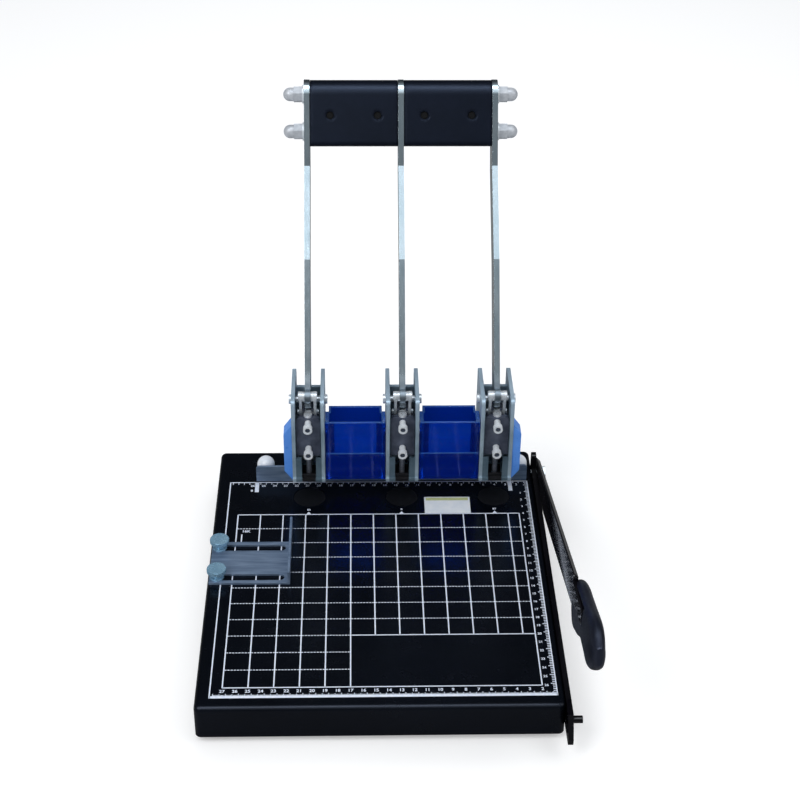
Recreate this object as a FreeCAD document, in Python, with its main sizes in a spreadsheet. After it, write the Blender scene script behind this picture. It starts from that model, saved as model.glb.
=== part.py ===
"""Lever paper drill: three punch stations on a printed table, with a side trimmer knife.

Millimetres. +X runs to the right, +Y to the back, +Z up. The origin is on the desk, under the
middle of the base. Every station is drawn round its own x = 0 and then placed along the table.
"""
import FreeCAD, Part
import math
import os
import re

import Sketcher
from FreeCAD import Placement, Rotation, Vector

SIZES = [
    # base tray, bent from sheet steel, and its rubber feet
    ("base_width", 288), ("base_depth", 340), ("table_height", 36), ("foot_height", 6),
    ("tray_wall", 2), ("tray_rim", 24), ("tray_corner", 5), ("tray_edge", 4),
    ("foot_radius", 8.5), ("foot_taper", 1.5), ("foot_inset", 13),
    # cutting discs in their cups
    ("disc_inset", 71.5), ("disc_radius", 14), ("disc_thick", 4), ("disc_gap", 0.3),
    ("cup_wall", 4), ("cup_depth", 9), ("spindle_radius", 3), ("spindle_reach", 3),
    ("clip_radius", 5.5), ("clip_thick", 1.2), ("run_gap", 0.05), ("slide_gap", 0.1),
    # where the stations stand
    ("right_station_inset", 38), ("hole_pitch", 83), ("punch_inset", 67.5), ("pivot_inset", 50),
    ("pivot_height", 92), ("throat_height", 20.5), ("throat_depth", 25.5),
    # station frame
    ("frame_width", 29), ("frame_sheet", 3.5), ("frame_over_pivot", 12.6), ("frame_corner", 4),
    ("keeper_sheet", 2.6), ("keeper_gap", 0.4), ("keeper_height", 24), ("keeper_slot", 12.6),
    ("sole_sheet", 3), ("sole_nose", 2), ("sole_tail", 2), ("web_behind_pivot", 17),
    ("web_sheet", 3.5), ("stop_gap", 0.6), ("flange_reach", 12.5), ("flange_screw_offset", 6),
    ("stripper_width", 12), ("stripper_lip", 3.8), ("stripper_lip_thick", 2), ("stripper_web", 1),
    ("fit_gap", 0.05),
    # pivot pin, crank and lever arms
    ("pin_radius", 3), ("pin_head_radius", 4.2), ("pin_head_reach", 2.5),
    ("crank_radius", 15.5), ("crank_angle", 42), ("crank_pin_radius", 3), ("crank_eye", 6.5),
    ("arm_thick", 5), ("arm_half", 13), ("arm_heel", 8), ("lean_low_angle", 33.4),
    ("lean_mid_angle", 42.7), ("lean_top_angle", 26.3), ("arm_low", 121), ("arm_mid", 85.5),
    ("rod_reach", 32.2), ("rod_spacing", 32.4), ("arm_tip", 13), ("heel_front_round", 3),
    ("heel_rear_round", 6),
    # handle
    ("grip_half", 12.5), ("grip_below_rod", 13), ("grip_foot_round", 3), ("grip_gap", 0.3),
    ("rod_radius", 4), ("rod_gap", 0.2), ("washer_radius", 8), ("washer_thick", 1.6),
    ("nut_flats", 13), ("nut_hex", 7.5), ("nut_dome", 6), ("nut_length", 16.8), ("nut_cavity", 12),
    ("recess_radius", 3.4), ("recess_depth", 3), ("recess_inset", 17.8), ("recess_over_rod", 13.7),
    ("grip_screw_radius", 3),
    # links
    ("link_length", 18.73), ("link_lean_angle", 12.33), ("link_half", 4.5), ("link_thick", 2.4),
    ("link_inside", 5.1), ("link_pin_radius", 2.25), ("link_pin_reach", 9.3),
    ("crank_pin_reach", 8.3), ("spacer_radius", 4.4),
    # rams with their punches and screws
    ("ram_width", 21.4), ("ram_wall", 3.5), ("ram_depth", 18), ("ram_height", 40),
    ("ram_over_link", 1.9), ("ram_shoulder", 4), ("ear_half", 4.8), ("ear_slot", 5.6),
    ("ear_front", 5), ("ear_over_link", 5.9), ("ear_tail", 2), ("ear_chamfer", 2.2),
    ("link_play", 0.8), ("sway_front", 4), ("sway_rear", 1.1), ("sway_play", 0.3),
    ("link_pocket", 0.7), ("punch_radius", 2.5), ("punch_lift", 22.1), ("punch_head_radius", 3.7),
    ("punch_head", 2), ("punch_hollow", 1.9), ("stripper_gap", 0.15), ("screw_high", 5),
    ("screw_low", 32), ("screw_neck_radius", 2.8), ("screw_neck", 7.5), ("screw_head_radius", 4),
    ("screw_head", 5), ("socket_radius", 2.2), ("socket_depth", 2.5),
    # chip boxes and end covers
    ("box_gap", 0.5), ("box_setback", 1), ("box_depth", 27), ("box_lift", 0.5),
    ("box_height", 61), ("box_wall", 2), ("box_end_wall", 3.5), ("box_step", 3),
    ("box_step_row", 18), ("peg_radius", 2), ("peg_reach", 2.2), ("peg_play", 0.3),
    ("peg_height", 70), ("peg_front_inset", 4.5), ("peg_spacing", 9.5),
    ("cover_thick", 7.2), ("cover_depth", 14), ("cover_height", 59), ("cover_slope", 10),
    ("cover_round", 2),
    # paper fence
    ("fence_left_over", 48.9), ("fence_right_over", 31.7), ("fence_inset", 47.2), ("fence_thick", 2),
    ("fence_height", 16.4), ("fence_corner", 3), ("fence_travel", 11), ("tab_width", 15),
    ("tab_tail", 16), ("knob_inset", 36.5), ("knob_left_over", 40.4), ("knob_right_over", 24.6),
    ("knob_radius", 8), ("knob_skirt", 9.5), ("stud_radius", 2.5), ("stud_play", 0.5),
    # side guide
    ("guide_left_inset", 1.6), ("guide_right_inset", 70.1), ("guide_front", 23), ("guide_rear", 32),
    ("guide_sheet", 2), ("guide_wall", 13), ("guide_wall_rear", 53), ("guide_travel", 53),
    ("guide_slot_half", 4), ("thumb_inset", 8.3),
    ("thumb_rear", 24), ("thumb_front", 15.5), ("thumb_neck", 3.75), ("thumb_collar", 6),
    ("thumb_collar_thick", 1.2), ("thumb_lift", 6.4), ("thumb_radius", 8), ("thumb_thick", 3.5),
    # trimmer knife
    ("rail_thick", 4.3), ("rail_front_over", 10), ("rail_rear_inset", 20), ("rail_depth", 22),
    ("rail_tail", 10), ("rail_nose", 5), ("rail_ear", 13), ("rail_ear_long", 7),
    ("rail_ear_slope", 3.25), ("rail_screw_front_inset", 34), ("rail_screw_rear_inset", 68),
    ("rail_skin", 1),
    ("knife_gap", 0.3),
    ("knife_thick", 4.5), ("knife_half", 13.5), ("knife_pivot_inset", 29),
    ("knife_pivot_drop", 6.5), ("knife_raise_angle", 17.2), ("knife_reach", 276), ("knife_tail", 13),
    ("knife_bevel", 3.2), ("tang_half", 7), ("tang_length", 50), ("bolt_radius", 4),
    ("bolt_head_radius", 4.4), ("bolt_head", 3), ("knife_washer_thick", 0.8), ("knife_nut_hex", 3),
    ("peg_column_reach", 8.7), ("stop_over", 1), ("stop_drop", 13.6), ("stop_radius", 3),
    ("grip_overlap", 10.7), ("grip_length", 112), ("grip_side", 6.9), ("grip_rise", 11.4),
    ("grip_sink", 36),
    # screws that hold things to the base
    ("base_screw_radius", 2.5), ("base_screw_head", 4.4), ("base_screw_head_high", 3),
    ("base_nut_flats", 8.05), ("base_nut_high", 4), ("thread_spare", 1),
    # how far a cutting form runs past the face it opens
    ("cut_over", 1),
]
# places along y, counted from the table's rear and front edges
ROWS = [
    ("disc_row", "base_depth / 2 - disc_inset"), ("punch_row", "base_depth / 2 - punch_inset"),
    ("pivot_row", "base_depth / 2 - pivot_inset"), ("fence_row", "base_depth / 2 - fence_inset"),
    ("knob_row", "base_depth / 2 - knob_inset"),
    ("knife_pivot_row", "base_depth / 2 - knife_pivot_inset"),
    ("rail_rear", "base_depth / 2 - rail_rear_inset"),
    ("rail_front", "base_depth / 2 + rail_front_over"), ("stop_row", "base_depth / 2 + stop_over"),
    ("rail_screw_rear", "base_depth / 2 - rail_screw_rear_inset"),
    ("rail_screw_front", "base_depth / 2 - rail_screw_front_inset"),
]
ALIASES = {alias for alias, value in SIZES + ROWS}

doc = FreeCAD.newDocument("paper_drill")
sheet = doc.addObject("Spreadsheet::Sheet", "sizes")
for row, (alias, value) in enumerate(SIZES + ROWS, 1):
    sheet.set(f"A{row}", alias)
    sheet.set(f"B{row}", f"={value}")
    sheet.setAlias(f"B{row}", alias)
doc.recompute()

NODES = {}
ALONG = {
    "x": Rotation(Vector(0, 0, 1), Vector(1, 0, 0)),
    "y": Rotation(Vector(0, 0, 1), Vector(0, 1, 0)),
    "z": Rotation(),
}


# ---------------------------------------------------------------- ways to draw
def linked(formula):
    """The formula with every size named in it read from the sheet."""
    def name(match):
        word = match.group()
        return f"sizes.{word}" if word in ALIASES else word
    return re.sub(r"[a-z][a-z_]*", name, str(formula))


def bind(thing, formulas):
    for place, formula in formulas.items():
        thing.setExpression(place, linked(formula))


def put(thing, x=0, y=0, z=0):
    bind(thing, {"Placement.Base.x": x, "Placement.Base.y": y, "Placement.Base.z": z})
    return thing


def block(x, y, z, name="block"):
    """A box between two x, two y and two z formulas."""
    solid = doc.addObject("Part::Box", name)
    spans = {key: f"({span[1]}) - ({span[0]})" for key, span in
             (("Length", x), ("Width", y), ("Height", z))}
    bind(solid, spans)
    return put(solid, x[0], y[0], z[0])


def turned(kind, axis, span, a, b, formulas, name):
    """A primitive whose own height lies along an axis, from span[0] to span[1].

    a and b are its place on the two other axes, in x, y, z order.
    """
    solid = doc.addObject(kind, name)
    solid.Placement = Placement(Vector(), ALONG[axis])
    bind(solid, {"Height": f"({span[1]}) - ({span[0]})", **formulas})
    places = {"x": (span[0], a, b), "y": (a, span[0], b), "z": (a, b, span[0])}
    return put(solid, *places[axis])


def bar(axis, radius, span, a, b, name="bar"):
    return turned("Part::Cylinder", axis, span, a, b, {"Radius": radius}, name)


def hexagon(axis, flats, span, a, b, name="hexagon"):
    solid = turned("Part::Prism", axis, span, a, b, {"Circumradius": f"({flats}) / sqrt(3)"}, name)
    solid.Polygon = 6
    return solid


def ball(radius, x, y, z, name="ball"):
    solid = doc.addObject("Part::Sphere", name)
    bind(solid, {"Radius": radius})
    return put(solid, x, y, z)


def fuse(name, *shapes):
    solid = doc.addObject("Part::MultiFuse", name)
    solid.Shapes = list(shapes)
    solid.Refine = True
    return solid


def cut(name, base, *tools):
    solid = doc.addObject("Part::Cut", name)
    solid.Base = base
    solid.Tool = tools[0] if len(tools) == 1 else fuse(name + "_tools", *tools)
    solid.Refine = True
    return solid


def group(name, *shapes):
    """Several solids that make one node."""
    bunch = doc.addObject("Part::Compound", name)
    bunch.Links = list(shapes)
    return bunch


def node(label, thing, x=0):
    """Names a finished sub-part and places it along the table."""
    thing.Label = label
    bind(thing, {"Placement.Base.x": x})
    NODES[label] = thing
    return thing


def outline(name, plane, corners, level="0"):
    """A body with one closed sketch; each corner is held by two formulas."""
    body = doc.addObject("PartDesign::Body", name)
    sketch = body.newObject("Sketcher::SketchObject", name + "_sketch")
    origin = next(part for part in body.Origin.OriginFeatures if part.Role == plane + "_Plane")
    sketch.AttachmentSupport = [(origin, "")]
    sketch.MapMode = "FlatFace"
    bind(sketch, {"AttachmentOffset.Base.z": level})
    count = len(corners)
    ring = [Vector(math.cos(2 * math.pi * k / count), math.sin(2 * math.pi * k / count), 0)
            for k in range(count)]
    sketch.addGeometry([Part.LineSegment(ring[k], ring[(k + 1) % count]) for k in range(count)])
    sketch.addConstraint([Sketcher.Constraint("Coincident", k, 2, (k + 1) % count, 1)
                          for k in range(count)])
    for k, corner in enumerate(corners):
        for kind, formula, number in zip(("DistanceX", "DistanceY"), corner, ring[k]):
            index = sketch.addConstraint(Sketcher.Constraint(kind, -1, 1, k, 1, number))
            bind(sketch, {f"Constraints[{index}]": formula})
    return body, sketch


def pad(body, sketch, thickness, centred=False):
    feature = body.newObject("PartDesign::Pad", body.Name + "_pad")
    feature.Profile = sketch
    feature.Midplane = centred
    bind(feature, {"Length": thickness})
    return body


def plate(name, plane, corners, thickness, level="0", centred=False, rounds=()):
    """A padded outline; rounds lists (corner numbers, fillet radius) pairs."""
    body, sketch = outline(name, plane, corners, level)
    pad(body, sketch, thickness, centred)
    for picks, radius in rounds:
        round_corners(body, sketch, picks, radius)
    return body


def dress(body, kind, measure, test, amount):
    """Adds a fillet or chamfer on the edges of the body's last feature that pass the test."""
    doc.recompute()
    base = body.Tip
    names = [f"Edge{k}" for k, edge in enumerate(base.Shape.Edges, 1) if test(edge)]
    feature = body.newObject(kind, body.Name + "_edge")
    feature.Base = (base, names)
    bind(feature, {measure: amount})


def fillet(body, test, radius):
    dress(body, "PartDesign::Fillet", "Radius", test, radius)


def round_corners(body, sketch, picks, radius):
    """Fillets the pad's edges that stand on the chosen corners of its sketch."""
    doc.recompute()
    normal = sketch.Placement.Rotation.multVec(Vector(0, 0, 1))
    places = [sketch.Placement.multVec(sketch.Geometry[pick].StartPoint) for pick in picks]

    def stands(edge):
        return any(all((vertex.Point - place).cross(normal).Length < 1e-4
                       for vertex in edge.Vertexes) for place in places)
    fillet(body, stands, radius)


# ---------------------------------------------------------------- shared places
STATIONS = {
    "left": "(base_width / 2 - right_station_inset - 2 * hole_pitch)",
    "middle": "(base_width / 2 - right_station_inset - hole_pitch)",
    "right": "(base_width / 2 - right_station_inset)",
}
TABLE = "table_height"
UNDER_TABLE = "table_height - tray_wall"
THROAT_TOP = "table_height + throat_height"
SOLE_TOP = f"{THROAT_TOP} + sole_sheet"
PIVOT_Z = "table_height + pivot_height"
RAM_FRONT = "punch_row - ram_wall"
RAM_REAR = f"{RAM_FRONT} + ram_depth"
FRAME_FRONT = f"{RAM_FRONT} - keeper_gap - keeper_sheet"
WEB_FRONT = "pivot_row + web_behind_pivot"
WEB_REAR = f"{WEB_FRONT} + web_sheet"
FRAME_REAR = f"{WEB_REAR} + flange_reach"
FRAME_TOP = f"{PIVOT_Z} + frame_over_pivot"
FRAME_HALF = "frame_width / 2"
CHANNEL_HALF = "(frame_width / 2 - frame_sheet)"
CRANK_Y = "pivot_row - crank_radius * cos(crank_angle)"
CRANK_Z = f"{PIVOT_Z} + crank_radius * sin(crank_angle)"
LINK_Y = f"{CRANK_Y} + link_length * sin(link_lean_angle)"
LINK_Z = f"{CRANK_Z} - link_length * cos(link_lean_angle)"
RAM_TOP = f"{LINK_Z} + ram_over_link"
RAM_BOTTOM = f"{RAM_TOP} - ram_height"


def along_arm(lean, foot, across, up):
    """A point beside an arm's centre line: across towards the front, up along the arm."""
    y, z = foot
    return (f"{y} - ({across}) * cos({lean}) + ({up}) * sin({lean})",
            f"{z} + ({across}) * sin({lean}) + ({up}) * cos({lean})")


PIVOT = ("pivot_row", PIVOT_Z)
LOW_BEND = along_arm("lean_low_angle", PIVOT, "0", "arm_low")
HIGH_BEND = along_arm("lean_mid_angle", LOW_BEND, "0", "arm_mid")
LOWER_ROD = along_arm("lean_top_angle", HIGH_BEND, "0", "rod_reach")
UPPER_ROD = along_arm("lean_top_angle", HIGH_BEND, "0", "rod_reach + rod_spacing")
RODS = (LOWER_ROD, UPPER_ROD)


# ---------------------------------------------------------------- base tray and feet
def base_tray():
    half_x = "base_width / 2"
    half_y = "base_depth / 2"
    body, sketch = outline("tray_skin", "XY", [(f"-{half_x}", f"-{half_y}"), (half_x, f"-{half_y}"),
                                               (half_x, half_y), (f"-{half_x}", half_y)],
                           "foot_height")
    pad(body, sketch, "table_height - foot_height")
    round_corners(body, sketch, range(4), "tray_corner")
    top = sheet.get("table_height")
    fillet(body, lambda edge: all(abs(v.Point.z - top) < 1e-4 for v in edge.Vertexes), "tray_edge")
    inner = "tray_wall"
    hollow = block((f"-{half_x} + {inner}", f"{half_x} - {inner}"),
                   (f"-{half_y} + {inner}", f"{half_y} - {inner}"),
                   ("foot_height + tray_wall", UNDER_TABLE))
    mouth = block((f"-{half_x} + tray_rim", f"{half_x} - tray_rim"),
                  (f"-{half_y} + tray_rim", f"{half_y} - tray_rim"),
                  ("0", "foot_height + 2 * tray_wall"))
    shell = cut("tray_shell", body, hollow, mouth)
    cups = []
    holes = []
    cup_bottom = "table_height - cup_depth"
    for place in STATIONS.values():
        cups.append(bar("z", "disc_radius + disc_gap + cup_wall", (cup_bottom, UNDER_TABLE),
                        place, "disc_row"))
        holes.append(bar("z", "disc_radius + disc_gap",
                         ("table_height - disc_thick - slide_gap", "table_height + disc_thick"),
                         place, "disc_row"))
        holes.append(bar("z", "spindle_radius + run_gap", (f"{cup_bottom} - cup_wall", TABLE),
                         place, "disc_row"))
        for side in (-1, 1):
            holes.append(base_hole(f"{place} + {side} * flange_screw_offset", FLANGE_SCREW_ROW))
    for x, y in KNOBS + THUMBS:
        holes.append(base_hole(x, y))
    for y in RAIL_SCREWS:
        holes.append(bar("x", "base_screw_radius + run_gap", (f"{half_x} - 2 * tray_wall", half_x),
                         y, RAIL_SCREW_Z))
    holes.append(bar("x", "bolt_radius + run_gap", (f"{half_x} - 2 * tray_wall", half_x),
                     "knife_pivot_row", KNIFE_Z))
    node("base_tray", cut("tray", fuse("tray_with_cups", shell, *cups), *holes))


def base_hole(x, y):
    span = (f"{UNDER_TABLE} - cut_over", f"{TABLE} + cut_over")
    return bar("z", "base_screw_radius + run_gap", span, x, y)


def base_feet():
    feet = []
    for across in ("-", ""):
        for deep in ("-", ""):
            feet.append(turned("Part::Cone", "z", ("0", "foot_height"),
                               f"{across}(base_width / 2 - foot_inset)",
                               f"{deep}(base_depth / 2 - foot_inset)",
                               {"Radius1": "foot_radius - foot_taper", "Radius2": "foot_radius"},
                               "foot"))
    node("base_feet", group("feet", *feet))


# ---------------------------------------------------------------- cutting discs
def cutting_disc(label, place):
    """A turning disc, its spindle and the clip that keeps it in its cup."""
    bottom = "table_height - disc_thick"
    end = "table_height - cup_depth - spindle_reach"
    disc = fuse("disc", bar("z", "disc_radius", (bottom, TABLE), "0", "disc_row"),
                bar("z", "spindle_radius", (end, bottom), "0", "disc_row"))
    clip_top = "table_height - cup_depth - slide_gap"
    clip_span = (f"{clip_top} - clip_thick", clip_top)
    clip = cut("clip", bar("z", "clip_radius", clip_span, "0", "disc_row"),
               bar("z", "spindle_radius", clip_span, "0", "disc_row"))
    node(f"cutting_disc_{label}", group("disc_set", disc, clip), place)


# ---------------------------------------------------------------- station frames
FLANGE_SCREW_ROW = f"{WEB_REAR} + flange_reach / 2"
ARM_REAR_Y = "pivot_row + arm_half * cos(lean_low_angle)"
ARM_REAR_Z = f"{PIVOT_Z} - arm_half * sin(lean_low_angle)"
WEB_TOP = f"{ARM_REAR_Z} + ({WEB_FRONT} - ({ARM_REAR_Y})) / tan(lean_low_angle) - stop_gap"


def punch_frame(label, place):
    """Two side plates, a sole with keepers in front, a web behind and a foot flange."""
    throat_rear = "punch_row + throat_depth"
    skin = plate("frame_skin", "YZ",
                 [(FRAME_FRONT, THROAT_TOP), (throat_rear, THROAT_TOP), (throat_rear, TABLE),
                  (FRAME_REAR, TABLE), (FRAME_REAR, FRAME_TOP), (FRAME_FRONT, FRAME_TOP)],
                 "frame_width", centred=True, rounds=[((4, 5), "frame_corner")])
    nose = block((f"-{FRAME_HALF}", FRAME_HALF), (f"{FRAME_FRONT} - sole_nose", RAM_FRONT),
                 (THROAT_TOP, SOLE_TOP))
    keeper_rear = f"{FRAME_FRONT} + keeper_sheet"
    keeper_top = f"{THROAT_TOP} + keeper_height"
    channel = (f"-{CHANNEL_HALF}", CHANNEL_HALF)
    slot = ("-keeper_slot / 2", "keeper_slot / 2")
    opening = ("-stripper_width / 2", "stripper_width / 2")
    before = f"{FRAME_FRONT} - sole_nose - cut_over"
    above = f"{FRAME_TOP} + cut_over"
    sole_rear = f"{RAM_REAR} + sole_tail"
    cuts = [
        block(channel, (keeper_rear, WEB_FRONT), (SOLE_TOP, above)),
        block(channel, (before, keeper_rear), (keeper_top, above)),
        block(slot, (before, keeper_rear), (SOLE_TOP, keeper_top)),
        block(opening, (before, f"{RAM_REAR} - stripper_web"),
              (f"{THROAT_TOP} - cut_over", SOLE_TOP)),
        block(channel, (sole_rear, WEB_FRONT), (f"{TABLE} - cut_over", SOLE_TOP)),
        block(channel, (WEB_REAR, f"{FRAME_REAR} + cut_over"), (f"{TABLE} + sole_sheet", above)),
        block(channel, (WEB_FRONT, WEB_REAR), (WEB_TOP, above)),
        bar("x", "pin_radius + run_gap", (f"-{FRAME_HALF} - cut_over", f"{FRAME_HALF} + cut_over"),
            "pivot_row", PIVOT_Z),
    ]
    for side in (-1, 1):
        cuts.append(bar("z", "base_screw_radius + run_gap",
                        (f"{TABLE} - cut_over", f"{TABLE} + sole_sheet + cut_over"),
                        f"{side} * flange_screw_offset", FLANGE_SCREW_ROW))
    node(f"punch_frame_{label}", cut("frame", fuse("frame_blank", skin, nose), *cuts), place)


def stripper(label, place):
    """The plastic block in the sole that pushes the paper off the punch."""
    half = "(stripper_width / 2 - fit_gap)"
    wide = (f"-{half}", half)
    front = f"{FRAME_FRONT} - sole_nose + fit_gap"
    slab = block(wide, (front, f"{RAM_REAR} - stripper_web - fit_gap"), (THROAT_TOP, SOLE_TOP))
    lip = block(wide, (FRAME_FRONT, f"{FRAME_FRONT} + stripper_lip_thick"),
                (SOLE_TOP, f"{SOLE_TOP} + stripper_lip"))
    bore = bar("z", "punch_radius + stripper_gap",
               (f"{THROAT_TOP} - cut_over", f"{SOLE_TOP} + cut_over"), "0", "punch_row")
    node(f"stripper_{label}", cut("stripper", fuse("stripper_blank", slab, lip), bore), place)


def pivot_pin(label, place):
    outer = f"{FRAME_HALF} + pin_head_reach"
    shaft = bar("x", "pin_radius", (f"-({outer})", outer), "pivot_row", PIVOT_Z)
    heads = [bar("x", "pin_head_radius", span, "pivot_row", PIVOT_Z)
             for span in ((f"{FRAME_HALF} + fit_gap", outer),
                          (f"-({outer})", f"-({FRAME_HALF} + fit_gap)"))]
    node(f"pivot_pin_{label}", fuse("pin", shaft, *heads), place)


def frame_screws():
    """Two cap screws with nuts behind each frame."""
    pieces = []
    for place in STATIONS.values():
        for side in (-1, 1):
            x = f"{place} + {side} * flange_screw_offset"
            pieces += cap_screw(x, FLANGE_SCREW_ROW, f"{TABLE} + sole_sheet")
    node("frame_screws", group("frame_screw_set", *pieces))


def cap_screw(x, y, seat):
    """A socket screw through the table, head on the seat and nut below."""
    head_top = f"{seat} + base_screw_head_high"
    nut_bottom = f"{UNDER_TABLE} - base_nut_high"
    head = cut("cap", bar("z", "base_screw_head", (seat, head_top), x, y),
               hexagon("z", "socket_radius * 1.7", (f"{head_top} - base_screw_head_high / 2",
                                                    f"{head_top} + cut_over"), x, y))
    shank = bar("z", "base_screw_radius", (f"{nut_bottom} - thread_spare", seat), x, y)
    screw = fuse("screw", head, shank)
    return [screw, table_nut(x, y)]


def table_nut(x, y):
    """A hexagon nut under the table round a screw."""
    span = (f"{UNDER_TABLE} - base_nut_high", UNDER_TABLE)
    return cut("nut", hexagon("z", "base_nut_flats", span, x, y),
               bar("z", "base_screw_radius", span, x, y))


# ---------------------------------------------------------------- lever arms and handle
def lever_arm(label, place):
    """A flat bar with two bends, a crank eye on its nose and a heel round the pivot."""
    eye_across = "crank_radius * cos(crank_angle - lean_low_angle)"
    eye_up = "crank_radius * sin(crank_angle - lean_low_angle)"
    low_middle = "((lean_low_angle + lean_mid_angle) / 2)"
    top_middle = "((lean_mid_angle + lean_top_angle) / 2)"
    low_mitre = "arm_half / cos((lean_mid_angle - lean_low_angle) / 2)"
    top_mitre = "arm_half / cos((lean_mid_angle - lean_top_angle) / 2)"
    tip = "rod_reach + rod_spacing + arm_tip"
    corners = [
        along_arm("lean_low_angle", PIVOT, "arm_half", "-arm_heel"),
        along_arm("lean_low_angle", PIVOT, "arm_half", f"{eye_up} - crank_eye"),
        along_arm("lean_low_angle", PIVOT, f"{eye_across} + crank_eye", f"{eye_up} - crank_eye"),
        along_arm("lean_low_angle", PIVOT, f"{eye_across} + crank_eye", f"{eye_up} + crank_eye"),
        along_arm("lean_low_angle", PIVOT, "arm_half", f"{eye_up} + crank_eye"),
        along_arm(low_middle, LOW_BEND, low_mitre, "0"),
        along_arm(top_middle, HIGH_BEND, top_mitre, "0"),
        along_arm("lean_top_angle", HIGH_BEND, "arm_half", tip),
        along_arm("lean_top_angle", HIGH_BEND, "-arm_half", tip),
        along_arm(top_middle, HIGH_BEND, f"-{top_mitre}", "0"),
        along_arm(low_middle, LOW_BEND, f"-{low_mitre}", "0"),
        along_arm("lean_low_angle", PIVOT, "-arm_half", "-arm_heel"),
    ]
    blank = plate("arm_blank", "YZ", corners, "arm_thick", centred=True,
                  rounds=[((2, 3), "crank_eye - run_gap"), ((7, 8), "arm_half - run_gap"),
                          ((0,), "heel_front_round"), ((11,), "heel_rear_round")])
    across = ("-arm_thick", "arm_thick")
    holes = [bar("x", "pin_radius + run_gap", across, *PIVOT),
             bar("x", "crank_pin_radius + run_gap", across, CRANK_Y, CRANK_Z)]
    holes += [bar("x", "rod_radius + rod_gap", across, *rod) for rod in RODS]
    node(f"lever_arm_{label}", cut("arm", blank, *holes), place)


def handle_grip(label, first, second):
    """A moulded hand bar between two arms, drilled for both rods."""
    start = f"({first} + arm_thick / 2 + grip_gap)"
    end = f"({second} - arm_thick / 2 - grip_gap)"
    low = "rod_reach - grip_below_rod"
    high = "rod_reach + rod_spacing + grip_half"
    corners = [along_arm("lean_top_angle", HIGH_BEND, across, up)
               for across, up in (("grip_half", low), ("grip_half", high),
                                  ("-grip_half", high), ("-grip_half", low))]
    blank = plate("grip_blank", "YZ", corners, f"{end} - {start}", level=start,
                  rounds=[((1, 2), "grip_half - run_gap"), ((0, 3), "grip_foot_round")])
    through = (f"{start} - cut_over", f"{end} + cut_over")
    holes = [bar("x", "rod_radius + rod_gap", through, *rod) for rod in RODS]
    holes += [grip_recess(x, "recess_radius", "grip_half - recess_depth", "grip_half + cut_over")
              for x in (f"{start} + recess_inset", f"{end} - recess_inset")]
    node(f"handle_grip_{label}", cut("grip", blank, *holes))
    return [grip_recess(x, "grip_screw_radius", "grip_half - recess_depth",
                        "grip_half - recess_depth / 3")
            for x in (f"{start} + recess_inset", f"{end} - recess_inset")]


def grip_recess(x, radius, inner, outer):
    """A round form in the grip's front face, between two depths from its middle plane."""
    foot = along_arm("lean_top_angle", HIGH_BEND, inner, "rod_reach + recess_over_rod")
    form = doc.addObject("Part::Cylinder", "recess")
    bind(form, {"Radius": radius, "Height": f"({outer}) - ({inner})"})
    form.Placement = Placement(Vector(), Rotation(Vector(1, 0, 0), 1))
    bind(form, {"Placement.Rotation.Angle": "90 - lean_top_angle"})
    return put(form, x, *foot)


def handle():
    names = list(STATIONS)
    screws = []
    for label, first, second in zip(("left", "right"), names, names[1:]):
        screws += handle_grip(label, STATIONS[first], STATIONS[second])
    node("grip_screws", group("grip_screw_set", *screws))
    left_face = f"({STATIONS['left']} - arm_thick / 2)"
    right_face = f"({STATIONS['right']} + arm_thick / 2)"
    reach = "washer_thick + nut_cavity - run_gap"
    rods = []
    washers = []
    nuts = []
    for rod in RODS:
        rods.append(bar("x", "rod_radius", (f"{left_face} - ({reach})",
                                            f"{right_face} + {reach}"), *rod))
        for face, sign in ((left_face, "-"), (right_face, "+")):
            washers.append(cut("washer", outward("washer_radius", face, sign, "0",
                                                 "washer_thick", rod),
                               outward("rod_radius", face, sign, "0", "washer_thick", rod)))
            nuts.append(dome_nut(face, sign, rod))
    node("handle_rods", group("rod_pair", *rods))
    node("handle_washers", group("washer_set", *washers))
    node("handle_dome_nuts", group("dome_nut_set", *nuts))


def outward_span(face, sign, near, far):
    """Two x formulas, in rising order, at two distances outwards from a face."""
    ends = (f"{face} {sign} ({near})", f"{face} {sign} ({far})")
    return ends if sign == "+" else ends[::-1]


def outward(radius, face, sign, near, far, centre):
    return bar("x", radius, outward_span(face, sign, near, far), *centre)


def dome_nut(face, sign, centre):
    hex_end = "washer_thick + nut_hex"
    dome = "washer_thick + nut_length - nut_dome"
    body = fuse("nut_blank",
                hexagon("x", "nut_flats", outward_span(face, sign, "washer_thick", hex_end), *centre),
                outward("nut_dome", face, sign, hex_end, dome, centre),
                ball("nut_dome", f"{face} {sign} ({dome})", *centre))
    return cut("dome_nut", body, outward("rod_radius", face, sign, "washer_thick",
                                         "washer_thick + nut_cavity", centre))


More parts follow.
